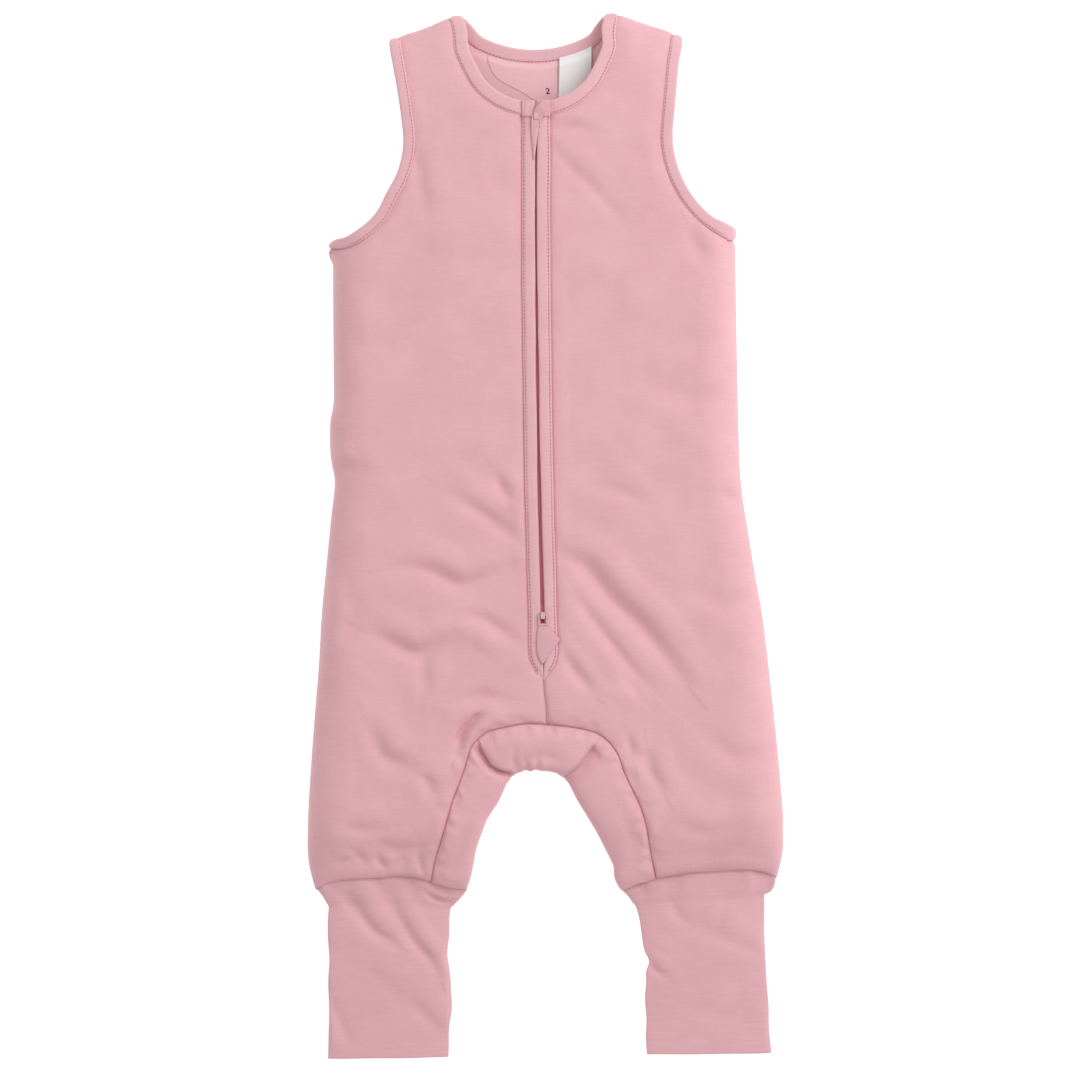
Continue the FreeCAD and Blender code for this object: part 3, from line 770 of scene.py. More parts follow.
def pucker(x, y, d, line, pitch, depth, reach):
    """Small gathers that run away from a seam: a wave along it that fades with distance."""
    s = lengths(line)
    best, where = np.full(x.shape, 1e9), np.zeros(x.shape)
    for (ax, ay), at in zip(line[::2], s[::2]):
        r = (x - ax) ** 2 + (y - ay) ** 2
        near = r < best
        best, where = np.where(near, r, best), np.where(near, at, where)
    wobble = value_noise(where, d, pitch * 1.1, 21)
    return depth * wobble * bell(d, 0, reach) * ease(d / 2.5)


def strip_out(y):
    """The outer edge of a zip strip: straight, then rounded in to the point."""
    close = np.sin(np.pi / 2 * np.clip((y - Y_POINT) / 21.0, 0, 1)) ** 0.8
    return (STRIP_OUT - 1.2) * close


def front_surface(x, y, side):
    """The top of the front: a rounded pad that drops to its seams, with folds, gathers and lumps."""
    ax = np.abs(x)
    d_side, d_shoulder, d_arm, d_neck, d_gusset = (
        distance(ax, y, line) for line in (SIDE, SHOULDER, ARM_SEAM, FRONT_NECK_SEAM, GUSSET))
    d_ankle, d_zip = y - Y_ANKLE, np.maximum(ax - strip_out(y), 0)
    z = Z_SEAM + (side_height(y) - Z_SEAM) * rise(np.minimum(d_side, d_shoulder), 30.0, 2.1)
    z -= 2.6 * (1 - rise(d_arm, 14.0)) + 2.2 * (1 - rise(d_neck, 12.0))
    z -= 2.2 * (1 - rise(d_gusset, 9.0, 1.7))
    z -= np.where(x < 0, 1.3, 1.7) * (1 - rise(d_zip, 10.0, 1.8))
    near_edge = np.minimum.reduce([d_side, d_shoulder, d_arm, d_neck, d_gusset, d_zip, d_ankle])
    z += lumps(x, y) * ease(near_edge / 14.0)
    zip_line = np.array([(0, Y_GUSSET), (0, Y_FRONT_NECK)])
    for d, line, pitch, depth, reach in ((d_gusset, GUSSET, 6.0, 1.0, 9.0), (d_zip, zip_line, 8.0, 0.5, 7.0),
                                         (d_arm, ARM_SEAM, 8.0, 0.6, 8.0), (d_ankle, ANKLE, 17.0, 0.7, 15.0)):
        z += pucker(ax, y, d, line, pitch, depth, reach)
    for shape in FRONT_FOLDS[side]:
        z += FOLD_DEPTH * fold(x, y, *shape) * ease(near_edge / 5.0)
    for shape in FRONT_CREASES[side]:
        z += crease(x, y, *shape) * ease(near_edge / 4.0)
    return z


def painted_line_shade(d, strength, reach):
    """Painted shade along a seam or crease, fading with the distance from it."""
    return strength * bell(d, 0, reach)


def front_edges():
    """The inner and the outer edge of the wearer's left front panel, both from the ankle up."""
    tuck = STRIP_OUT - 3.7
    zip_line = [(-0.2, Y_POINT), (4.2, Y_POINT + 7.5), (tuck, Y_POINT + 19),
                (tuck, Y_FRONT_NECK - NECK_BAND + 2)]
    neck = FRONT_NECK_SEAM[FRONT_NECK_SEAM[:, 0] > STRIP_OUT - 2]
    middle = resample(np.array([(-0.2, Y_GUSSET), (-0.2, Y_POINT)]), 20)
    inner = join(GUSSET[:-2], middle, resample(np.array(zip_line), 300), neck)
    return inner, outer_edge()


def build_front(side):
    """A closed pad on a grid between the zip and the side, thinned at its seams."""
    marks = [
        ((60, Y_GUSSET - 31), (180, Y_ANKLE + 44)),
        ((41, Y_GUSSET - 6), (178, Y_ANKLE + 78)),
        ((-0.2, Y_GUSSET), (172, Y_ANKLE + 135)),
        ((-0.2, Y_POINT), (168, Y_ANKLE + 172)),
        ((STRIP_OUT, 0), (156, 0)),
        ((STRIP_OUT, 150), (150, 140)),
        ((STRIP_OUT, Y_FRONT_NECK - NECK_BAND), (95, 270)),
        ((46, 333), (94, 318)),
    ]
    grid = panel_grid(*front_edges(), marks, *FRONT_GRID)
    x, y = grid[..., 0] * side, grid[..., 1]
    z = front_surface(x, y, side)
    thick = PAD_EDGE + (PAD_THICK - PAD_EDGE) * ease(lines_in(*FRONT_GRID) / 7.0)
    low = np.maximum(z - thick, Z_SEAM - 0.6)
    if side < 0:
        x, y, z, low = (values[:, ::-1] for values in (x, y, z, low))
    ax = np.abs(x)
    # Painted shade: a dark red line along the gusset, armhole, neck and ankle seams, the middle seam and the
    # zip strips' edge, where they lie in shadow.
    d_seam = np.minimum.reduce([distance(ax, y, line) for line in (GUSSET, ARM_SEAM, FRONT_NECK_SEAM)])
    below_zip = y < Y_POINT
    d_mid = np.where(below_zip, ax, np.abs(ax - strip_out(y)))
    painted_shade = np.maximum.reduce([painted_line_shade(d_seam, 0.4, 0.9), painted_line_shade(y - Y_ANKLE, 0.3, 0.9),
                               painted_line_shade(d_mid, np.where(below_zip, 0.15, 0.5), 0.8)])
    word = SIDES[side]
    piece = pad("front_panel_" + word, np.stack([x, y, z], -1), np.stack([x, y, low], -1), SHELL, painted_shade)
    declare(piece, "shell_cloth", "front_outer_" + word, "front_wadding_" + word, "front_lining_" + word)


for side in SIDES:
    build_front(side)


# Back

BACK_GRID = (250, 150)  # rows and columns


def back_surfaces(x, y):
    """The under side and the inner side of the back: flat on the floor, rounded up to the seams."""
    ax = np.abs(x)
    d_side, d_shoulder, d_arm, d_neck, d_gusset = (
        distance(ax, y, line) for line in (SIDE, SHOULDER, ARM_SEAM, BACK_NECK_SEAM, GUSSET))
    d, d_open = np.minimum(d_side, d_shoulder), np.minimum(d_arm, d_neck)
    under = Z_SEAM * (1 - rise(d, 20.0)) + 1.4 * (1 - rise(d_open, 8.0)) + 1.6 * (1 - rise(d_gusset, 7.0))
    calm = ease(np.minimum(np.minimum(d, d_open), d_gusset) / 14.0)
    under += calm * np.maximum(0, 0.5 * value_noise(x, y, 40, 31) + 0.3 * value_noise(x, y, 16, 33))
    under += np.abs(pucker(ax, y, y - Y_ANKLE, ANKLE, 8.0, 1.2, 14.0))
    raised = 3.6 * ease((y - 282) / 36) * ease((85 - ax) / 25)
    inner = 6.0 + raised + calm * (0.5 * value_noise(x, y, 45, 35) + 0.25 * value_noise(x, y, 18, 36))
    inner = np.maximum(inner, under + 1.1)
    inner = np.minimum(inner, under + 1.7 + 4.4 * ease(np.minimum(d, d_gusset) / 7.0) + raised)
    inner = np.minimum(inner, under + 3.4 + 2.7 * ease((d_open + 1.0) / 8.0) + raised)
    return under, inner


def back_grid(rows, columns):
    """Columns run from the ankles and the gusset seam up to the shoulders and the neck.

    Between its four edges the grid is the sum of the two straight blends less the blend of the corners.
    """
    ankle, side = np.array([ANKLE_OUT, Y_ANKLE]), outer_edge()
    low_half = join([ankle], resample(np.stack([ankle, GUSSET[0]]), 40), GUSSET)
    low = join(mirror(low_half), low_half[::-1])
    top_half = join([side[-1]], BACK_NECK_SEAM[::-1])
    top = join(mirror(top_half), top_half[::-1])
    half_marks = [(0.0, 0.0), (place_of(low, GUSSET[0] * (-1, 1)), 0.16),
                  (place_of(low, (-60, Y_GUSSET - 31)), 0.24), (place_of(low, (-41, Y_GUSSET - 6)), 0.32)]
    shares = half_marks + [(0.5, 0.5)] + [(1 - a, 1 - b) for a, b in half_marks[::-1]]
    n, m = 121, 161
    bottom, upper = matched(low, top, shares, n)
    left, right = resample(mirror(side), m), resample(side, m)
    v, u = np.linspace(0, 1, m)[:, None, None], np.linspace(0, 1, n)[None, :, None]
    grid = (1 - v) * bottom[None] + v * upper[None] + (1 - u) * left[:, None] + u * right[:, None]
    grid -= (1 - v) * ((1 - u) * bottom[0] + u * bottom[-1]) + v * ((1 - u) * upper[0] + u * upper[-1])
    grid[0], grid[-1], grid[:, 0], grid[:, -1] = bottom, upper, left, right
    return refine(winslow(grid, 900), rows, columns)


def build_back():
    """A closed pad whose upper faces, the first of its mesh, are the lining."""
    rows, columns = BACK_GRID
    x, y = np.moveaxis(back_grid(rows, columns), -1, 0)
    under, inner = back_surfaces(x, y)
    piece = pad("back_panel", np.stack([x, y, inner], -1), np.stack([x, y, under], -1), SHELL)
    piece.data.materials.append(LINING)
    lining = np.arange(len(piece.data.polygons)) < (rows - 1) * (columns - 1)
    piece.data.polygons.foreach_set("material_index", lining.astype(int))
    declare(piece, "shell_cloth", "back_outer", "back_wadding", "back_lining")


build_back()


# Gusset

GUSSET_FOLDS = [
    ([(-50, -153), (-46, -162), (-38, -171), (-31, -178)], 1.6, 2.6, -1),
    ([(-22, -158), (-24, -168), (-19, -176)], 1.1, 3.0, 1),
    ([(-14, -166), (-13, -176)], 1.2, 2.4, 1),
    ([(-5, -165), (-7, -176)], 0.9, 2.2, 1),
    ([(-22, -150), (0, -146), (24, -151)], 1.2, 6.0, 1),
    ([(-20, -168), (-2, -163), (14, -168)], 1.4, 4.0, -1),
    ([(58, -205), (63, -222), (68, -240)], 1.0, 5.0, 1),
    ([(-58, -208), (-64, -228), (-68, -244)], 1.0, 5.0, -1),
]
GUSSET_CREASES = [
    ([(-49, -150), (-46.5, -159), (-43, -166.5), (-39.5, -171.5), (-34, -174.5), (-26, -176)],
     6.0, 0.8, 4.6, 1),
    ([(-53, -156), (-49.5, -162), (-44.5, -168.5), (-41, -172)], 1.3, 0.8, 2.4, 1),
    ([(41, -153), (36, -159), (31, -165), (26, -172), (20, -176.5), (13, -181)], 7.0, 1.6, 9.0, -1),
    ([(36, -155), (37.5, -160), (41.5, -163)], 1.4, 1.2, 3.0, 1),
]
CREASE_PAINTED_SHADES = (0.4, 0.2, 0.2, 0.1)  # painted shade along each of them
GUSSET_GRID = (480, 96)  # rows and columns


def surface_normals(grid):
    """The unit normals of a grid of points."""
    normal = np.cross(np.gradient(grid, axis=0), np.gradient(grid, axis=1))
    return normal / np.maximum(np.linalg.norm(normal, axis=-1, keepdims=True), 1e-9)


def build_gusset():
    """Rows run along the seam; across, the cloth goes over the front, round the fold and back under.

    Across the gusset the way from the seam to the fold is a power of the sine of an angle that turns
    through half a circle, and the height a power of its cosine.
    """
    rows, columns = GUSSET_GRID
    s = np.linspace(-1, 1, rows)
    seam = resample(join(mirror(GUSSET), GUSSET[::-1]), rows)
    fold_line = resample(CROTCH, rows)
    fine = np.linspace(0, np.pi, 4001)
    profile = lambda angle: (np.abs(np.sin(angle)) ** 0.55, signed_power(np.cos(angle), 0.42))
    travel = lengths(np.stack(profile(fine), 1) * (30.0, 15.0))  # on a section of about this size
    phi = np.interp(np.linspace(0, travel[-1], columns), travel, fine)
    go, lift = profile(phi)
    between = lambda share: seam[:, None] * (1 - share) + fold_line[:, None] * share
    x, y = np.moveaxis(between(go[None, :, None]), -1, 0)
    d_seam = distance(np.abs(x), y, GUSSET)
    bolster = np.exp(-(((x + 4) / 36.0) ** 4)) * np.clip((y + 225) / 50, 0, 1)
    crown = side_height(y) - 2.6 * (1 - rise(d_seam, 9.0, 1.7)) + 2.2 * bolster * ease(d_seam / 12.0)
    low = 1.6 * (1 - rise(d_seam, 7.0))
    middle = (crown + low) / 2
    z = middle + lift[None, :] * (crown - low) / 2
    face_up = ease(lift / 0.35)[None, :]
    z += face_up * ease(d_seam / 8.0) * 0.7 * lumps(x, y)
    z += face_up * pucker(np.abs(x), y, d_seam, GUSSET, 5.0, 1.3, 8.0)
    for shape in GUSSET_FOLDS:
        z += face_up * fold(x, y, *shape) * ease(d_seam / 4.0)
    for shape in GUSSET_CREASES:
        z += face_up * crease(x, y, *shape) * ease(d_seam / 3.0)
    grid = np.stack([x, y, z], -1)
    gather = 1.1 * value_noise(s[:, None] * 260, phi[None, :] * 4, 9.0, 41) * np.sin(phi)[None, :] ** 4
    normal = surface_normals(grid)
    if (normal[:, columns // 4, 2] < 0).mean() > 0.5:
        normal = -normal
    grid = grid + normal * (gather * bell(s[:, None], 0, 0.22))[..., None]
    thick = 1.1 + 3.6 * ease(lines_in(rows, columns) / 5.0)[..., None]
    half = np.maximum((crown - low) / 2, 6.0)[..., None]
    inner_z = middle[..., None] + (grid[..., 2:] - middle[..., None]) * (1 - thick / half)
    inner = np.concatenate([between(go[None, :, None] * (1 - thick / 34)), inner_z], -1)
    # Painted shade along the seam and along the creases, where they lie in shadow.
    painted_shade = painted_line_shade(d_seam, 0.4, 0.9)
    for (points, *_), strength in zip(GUSSET_CREASES, CREASE_PAINTED_SHADES):
        line = smooth_line(resample(np.array(points, float), 24), 3)
        d_crease = distance(grid[..., 0], grid[..., 1], line)
        painted_shade = np.maximum(painted_shade, painted_line_shade(d_crease, strength, 0.8) * face_up)
    piece = pad("crotch_gusset", grid, inner, SHELL, painted_shade)
    declare(piece, "shell_cloth", "gusset_outer", "gusset_wadding", "gusset_lining")


build_gusset()


# Cuffs

LEFT_CUFF_FOLDS = [
    ([(72, -322), (80, -327), (90, -334)], 1.6, 3.5, 1),
    ([(112, -294), (134, -305), (160, -316)], 1.2, 6.0, 1),
    ([(92, -276), (98, -286), (108, -296)], 1.2, 4.0, -1),
    ([(140, -274), (132, -284), (128, -298)], 1.0, 4.5, 1),
    ([(100, -352), (120, -362), (146, -364)], 0.7, 7.0, 1),
]
RIGHT_CUFF_FOLDS = [
    ([(-156, -270), (-140, -283), (-127, -298), (-112, -306)], 3.0, 4.5, 1),
    ([(-117, -277), (-107, -291), (-98, -305), (-89, -317), (-83, -330)], 3.0, 4.5, 1),
    ([(-106, -347), (-94, -360), (-80, -374)], 1.4, 5.5, 1),
    ([(-90, -272), (-82, -275), (-74, -276), (-70, -274.5)], 2.6, 1.8, 1),
    ([(-166, -346), (-158, -364), (-150, -384)], 1.4, 5.0, -1),
    ([(-140, -322), (-124, -336), (-112, -352)], 0.8, 7.0, 1),
]
CUFF_FOLDS = {1: LEFT_CUFF_FOLDS, -1: RIGHT_CUFF_FOLDS}
CUFF_WALL = 1.1  # thickness of its cloth
CUFF_GRID = (150, 140)  # rows, and points around
CUFF_TUCK = 4.0  # how far it reaches up inside the leg


def cuff_edges(side, y, y_top, gathered):
    """The distances of a cuff's near and far edge from the middle of the suit, at each height."""
    drop, splay = Y_ANKLE - y, (y_top - y) / (y_top - Y_HEM)
    flared = np.sqrt(np.clip(1 - (np.maximum(drop, 0) / 12.5) ** 2, 0, 1)) if side > 0 else gathered
    near = 70.5 + 5.5 * splay - 10.5 * gathered + 0.9 * wander(y, 17, 51, side * 9)
    far = 161.5 + 5.5 * splay + 10.0 * flared + 0.9 * wander(y, 19, 52, side * 5)
    if side > 0:
        near += 3.2 * bell(y, -322, 6.0) + 1.2 * bell(y, -336, 9.0)
        near -= 7.0 * ease((40 - drop) / 40.0) * (1 - gathered) + 1.2 * ease((drop - 96) / 20.0)
        far += 1.3 * (1 - flared)
    else:
        near += 2.4 * bell(y, -316, 12.0) - 2.2 * bell(y, -354, 12.0)
        far += 1.8 * bell(y, -326, 26.0)
    return near, far


def build_cuff(side):
    """A flat tube: its section is a lens, wide and gathered at the ankle, thin at the folded hem."""
    rows, around = CUFF_GRID
    v = np.linspace(0, 1, rows)
    y_top = Y_ANKLE + CUFF_TUCK
    y = y_top + (Y_HEM - y_top) * v
    drop = Y_ANKLE - y
    gathered = np.clip(1 - drop / 15.0, 0, 1) ** 0.85 * (1 - 0.25 * ease(-drop / 4.0))
    near, far = cuff_edges(side, y, y_top, gathered)
    thick = 5.4 - 2.6 * ease(drop / 115.0) + 1.7 * gathered
    middle, half = (near + far)[:, None] / 2, (far - near)[:, None] / 2
    thick, full = thick[:, None], gathered[:, None]
    z_mid = thick + 0.35
    t = np.linspace(0, 2 * np.pi, around, endpoint=False)
    c, s = np.cos(t), np.sin(t)
    across, lift = signed_power(c, 0.92 - 0.42 * full), signed_power(s, 0.8 - 0.32 * full)
    x = middle + half * across
    yy = np.broadcast_to(y[:, None], x.shape).copy()
    yy[-8:] += 0.6 * wander(x[-8:], 25, 55) * np.linspace(0, 1, 8)[:, None]
    x, middle = side * x, side * middle
    calm = ease(lift / 0.5) * ease((1 - np.abs(across)) / 0.08)
    hem = 1 - 0.6 * ease((v - 0.9) / 0.1)[:, None]
    z = z_mid + thick * lift
    z += calm * hem * (0.7 * value_noise(x, yy, 33, 57) + 0.35 * value_noise(x, yy, 14, 58))
    z += calm * 1.3 * value_noise(x, yy * 0.25, 6.5, 59) * full
    for shape in CUFF_FOLDS[side]:
        z += calm * hem * fold(x, yy, *shape)
    z = np.maximum(z, 0.3)
    inner_x = middle + (x - middle) * (1 - CUFF_WALL / half)
    inner_z = z_mid + (z - z_mid) * (1 - CUFF_WALL / np.maximum(thick, 2.4))
    points = np.stack([np.stack([x, yy, z], -1), np.stack([inner_x, yy, inner_z], -1)])
    count, k = rows * around, np.arange(around)
    tube_faces = grid_faces(rows, around, wrap_columns=True)
    top = np.stack([k, (k + 1) % around, (k + 1) % around + count, k + count], 1)
    faces = np.concatenate([tube_faces, tube_faces[:, ::-1] + count, top[:, ::-1], top + (rows - 1) * around])
    # Painted shade along the ankle seam.
    painted_shade = painted_line_shade(drop, 0.3, 0.8)[:, None] * np.ones(around)
    word = SIDES[side]
    piece = fix_winding(make_mesh("cuff_" + word, points, faces, CUFF, np.stack([painted_shade, painted_shade])))
    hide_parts("cuff_outer_" + word, "cuff_inner_" + word)
    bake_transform(piece)


for side in SIDES:
    build_cuff(side)


# Bindings

BAND_THICK, BAND_FLAT = 3.6, 0.42


def band_section(width, thick, flat, n=28):
    """A flat oval, wide across the path: powers of the cosine and the sine of an angle."""
    t = np.linspace(0, 2 * np.pi, n, endpoint=False)
    return np.stack([width / 2 * signed_power(np.cos(t), flat), thick / 2 * signed_power(np.sin(t), 0.85)], 1)


def band_rows(width, turning):
    """The band's section for each row of its path, drawn in where it turns over the shoulder."""
    scale = 1 - 0.42 * np.sin(np.pi * turning) ** 2
    section = band_section(width, BAND_THICK, BAND_FLAT)
    return section[None] * np.stack([scale, np.ones_like(scale)], 1)[:, None]


def band_side_painted_shade():
    """Painted shade on the band's side faces, where it is sewn down and its edge lies in shadow."""
    across = band_section(2.0, 1.0, BAND_FLAT)[:, 0]
    return 0.4 * ease((np.abs(across) - 0.93) / 0.07)


def bridge(a, b, bow):
    """The ten points between two ends, on a line bowed by half a sine."""
    t = np.linspace(0, 1, 12)[1:-1, None]
    return a + (b - a) * t + np.sin(np.pi * t) * np.array(bow)


def front_height_at(line):
    """The front's height along a plane curve on the wearer's left, evened out along its way."""
    return smooth_line(front_surface(line[:, 0], line[:, 1], 1), 12)


def lifted(line, z):
    """The plane curve as points at a height."""
    return np.column_stack([line, np.broadcast_to(z, len(line))])


def shoulder_turn(k, start):
    """From 0 to 1 as a band turns over on the shoulder, for each of its row numbers."""
    return ease((k - start + 2) / 14.0)


def build_neck_binding():
    """One strip from one side of the zip round the neck to the other."""
    edge = offset(FRONT_NECK, -NECK_BAND / 2)
    edge = edge[edge[:, 0] > STRIP_OUT - 3.0]
    front = lifted(edge, front_height_at(offset(FRONT_NECK, -NECK_BAND))[-len(edge):] - 0.9)
    back = lifted(offset(BACK_NECK, -NECK_BAND / 2)[::-1], 7.2)
    front, back, turn_row = front[:-4], back[4:], len(front) - 4
    left = np.concatenate([front, bridge(front[-1], back[0], (0.2, 3.2, 0)), back])
    path = join(left, mirror(left)[::-1])
    k = np.arange(len(path))
    turned = shoulder_turn(np.minimum(k, k[::-1]), turn_row)
    up = np.stack([0 * turned, np.sin(np.pi * turned), np.cos(np.pi * turned)], 1)
    path[:, 2] += 0.3 * wander(lengths(path), 14, 61)
    piece = swept("neck_binding_band", path, band_rows(NECK_BAND, turned), BINDING, up, band_side_painted_shade())
    declare(piece, "binding_cloth", "neck_binding")


def build_arm_binding(side):
    """A loop up the front of the armhole, over the shoulder, down the back and round the underarm."""
    line = offset(ARMHOLE, ARM_BAND / 2)
    line[:, 0] = np.minimum(line[:, 0], X_CHEST - 2.0)
    front = lifted(line, front_height_at(offset(ARMHOLE, ARM_BAND + 1.0)) - 0.9)[3:-4]
    back = lifted(line[3:-4][::-1], 4.4)
    over, under = bridge(front[-1], back[0], (0.4, 2.6, 0)), bridge(back[-1], front[0], (3.0, 0, 0))
    loop = np.concatenate([front, over, back, under])
    k, under_row = np.arange(len(loop)), len(loop) - len(under)
    turned, back_again = shoulder_turn(k, len(front)), ease((k - under_row + 1) / 11.0)
    angle = np.pi * (turned + back_again)
    on_back = k < under_row - 2
    lean = np.sin(angle)
    up = np.stack([np.where(on_back, 0, -lean), np.where(on_back, lean, 0), np.cos(angle)], 1)
    if side < 0:
        loop, up = mirror(loop), mirror(up)
    rows = band_rows(ARM_BAND, turned * (1 - back_again))
    piece = swept("armhole_band_" + SIDES[side], loop, rows, BINDING, up, band_side_painted_shade(), closed=True)
    declare(piece, "binding_cloth", "armhole_binding_" + SIDES[side])


build_neck_binding()
for side in SIDES:
    build_arm_binding(side)


# Zip

STITCH_PITCH, STITCH_LENGTH, STITCH_RADIUS = 2.7, 2.0, 0.32
STITCH_INSET = 1.7  # from the outer edge of a strip
COIL_PITCH, COIL_WIDTH, COIL_RADIUS = 1.5, 3.0, 0.62
GUARD_THICK = 0.9


def strip_edges(y):
    """The inner and the outer edge of the left fabric strip at each place along the zip."""
    waver = 0.7 * wander(y, 55, 71, 3.0) + 0.35 * wander(y, 21, 72)
    inner = 0.8 + waver * 0.75 + 0.35 * ease((260 - y) / 300)
    outer = strip_out(y) + 0.3 * wander(y, 30, 73)
    inner_close = ease((y - Y_POINT - 8) / 12)
    return 0.05 + (inner - 0.05) * inner_close, np.maximum(outer, 0.9)


def build_strip(side):
    """A folded strip of cloth: a flat oval section whose edges follow the zip and close to a point."""
    y = np.linspace(Y_FRONT_NECK + 1.0, Y_POINT - 1.0, 420)
    inner, outer = strip_edges(y)
    across, lift = band_section(1.0, 1.0, 0.6, n=30).T
    thick = 3.6 * np.clip((outer - inner) / 8.0, 0.35, 1)
    x = (inner + outer)[:, None] / 2 + (outer - inner)[:, None] * across
    top = Z_STRIP - 1.2 + 0.35 * wander(y, 26, 75, side)
    z = top[:, None] + thick[:, None] * lift * 0.9 - 0.6 * across
    z[:10] += 0.5 * np.linspace(1, 0, 10)[:, None]
    past_band = y - Y_FRONT_NECK + NECK_BAND
    over_band = 0.7 * ease(past_band / 0.8) - 0.5 * bell(past_band, -0.6, 0.7)
    seam_groove = -0.45 * bell(x, outer[:, None] - STITCH_INSET, 0.5)
    z += (over_band[:, None] + seam_groove) * (lift > 0)
    points = np.stack([side * x, np.broadcast_to(y[:, None], x.shape), z], -1)
    # Painted shade: dark red on the strip's inner edge in the shadowed zip gap, fainter on its outer edge
    # beside the front, and across the neck band's seam.
    edge_painted_shade = np.maximum(ease((-across * 2 - 0.9) / 0.1), 0.45 * ease((across * 2 - 0.92) / 0.08))
    painted_shade = 0.85 * np.maximum(edge_painted_shade, 0.6 * bell(past_band, -0.6, 0.8)[:, None])
    word = SIDES[side]
    declare(tube("zip_placket_" + word, points, BINDING, painted_shade), "binding_cloth", "zip_strip_" + word)


def capsule(length, radius, rings=5):
    """A small six-sided rod along X, as points and quad faces with pinched ends."""
    around = 6
    t = np.linspace(0, np.pi, rings)[:, None]
    a = np.linspace(0, 2 * np.pi, around, endpoint=False)
    r = np.sin(t) ** 0.7 * radius
    r[0] = r[-1] = radius * 0.15
    x = np.broadcast_to(-np.cos(t) * length / 2, (rings, around))
    caps = np.array([[5, 4, 1, 0], [4, 3, 2, 1]])
    faces = [grid_faces(rings, around, wrap_columns=True), caps, caps[:, ::-1] + (rings - 1) * around]
    return np.stack([x, r * np.cos(a), r * np.sin(a)], -1).reshape(-1, 3), np.concatenate(faces)


def repeated(name, shape, places, ways, material):
    """Copies of a small shape, its X along each way and its Z as upright as that allows."""
    points, faces = shape
    ways = ways / np.linalg.norm(ways, axis=1)[:, None]
    ups = (0.0, 0.0, 1.0) - ways[:, 2:] * ways
    ups /= np.linalg.norm(ups, axis=1)[:, None]
    turn = np.stack([ways, np.cross(ups, ways), ups], 1)
    every = np.einsum("pk,nkj->npj", points, turn) + places[:, None]
    faces = faces[None] + (np.arange(len(places)) * len(points))[:, None, None]
    return fix_winding(make_mesh(name, every, faces.reshape(-1, 4), material))


def stitches(name, path):
    """A row of lockstitches along a path, each a short rod."""
    total = lengths(path)[-1]
    s = np.arange(STITCH_PITCH / 2, total - STITCH_PITCH / 2, STITCH_PITCH)
    ways = along(path, np.minimum(s + 0.4, total)) - along(path, s - 0.4)
    rod = capsule(STITCH_LENGTH, STITCH_RADIUS)
    declare(repeated(name, rod, along(path, s), ways, THREAD), "binding_cloth")


def build_coil(side):
    """The turns of one nylon coil, each a rounded rod across the zip that hooks over the middle."""
    node = "zip_coil_" + SIDES[side]
    low, high = box_mm(node)
    y = np.arange(low[1] + 0.6, high[1] - 0.6, COIL_PITCH) + (COIL_PITCH / 2 if side > 0 else 0)
    y = y[y < high[1] - 0.3]
    places = np.stack([y * 0 + side * 1.15, y, y * 0 + high[2] + 1.5], 1)
    ways = np.broadcast_to((1.0, 0.08 * side, 0.0), places.shape)
    rod = capsule(COIL_WIDTH, COIL_RADIUS, rings=6)
    declare(repeated("zip_coil_turns_" + SIDES[side], rod, places, ways, COIL_WITH_PAINTED_BOUNCE), "zip_coil", node)


def build_guard():
    """The soft strip behind the zip, with one edge turned up to the lining."""
    low, high = box_mm("zip_guard")
    x, y = np.meshgrid(np.linspace(low[0], high[0], 24), np.linspace(high[1], low[1], 160))
    z = low[2] + 0.9 + 2.1 * ease((low[0] + 5 - x) / 5.0) + 0.3 * value_noise(x, y, 24, 81)
    top = np.stack([x, y, z], -1)
    piece = pad("zip_guard_strip", top, top - (0, 0, GUARD_THICK), LINING)
    declare(piece, "lining_cloth", "zip_guard")


for side in SIDES:
    build_strip(side)
    build_coil(side)
build_guard()


# Stitching rows

def seam_rows():
    """The rows of stitches on the strips, the armhole bands and the neck band."""
    y = np.linspace(Y_FRONT_NECK - 1, Y_POINT + 5, 500)
    strip = np.stack([strip_edges(y)[1] - STITCH_INSET, y, np.full(len(y), Z_STRIP - 0.05)], 1)
    line = offset(ARMHOLE, ARM_BAND - 1.6)
    line = line[line[:, 0] < X_CHEST - 4]
    arm = lifted(line, front_height_at(offset(ARMHOLE, ARM_BAND + 1.0))[-len(line):] + 0.9)
    edge = offset(FRONT_NECK, -NECK_BAND + 1.7)
    edge = edge[edge[:, 0] > STRIP_OUT]
    neck = lifted(edge, front_height_at(offset(FRONT_NECK, -NECK_BAND))[-len(edge):] + 1.2)
    for side, word in SIDES.items():
        for name, path in (("placket", strip), ("armhole", arm), ("neck", neck)):
            stitches(name + "_stitches_" + word, path * (side, 1, 1))
    back = offset(BACK_NECK, -NECK_BAND + 1.7)[:-14]
    stitches("back_neck_stitches", lifted(join(mirror(back)[::-1], back), 9.1))


seam_rows()


# Inside the neck

FACING_FLAT, FACING_THICK, FACING_LIFT = (84.0, 32.0), 0.25, 0.3
OVERLOCK_PITCH, OVERLOCK_LENGTH, OVERLOCK_RADIUS = 1.7, 2.4, 0.24
LABEL_WIDTH, LABEL_THICK = 24.6, 0.35
NUMERAL_PLACE, NUMERAL_SIZE = (7.3, 334.8), 6.4


def lining_height(x, y):
    return back_surfaces(x, y)[1]


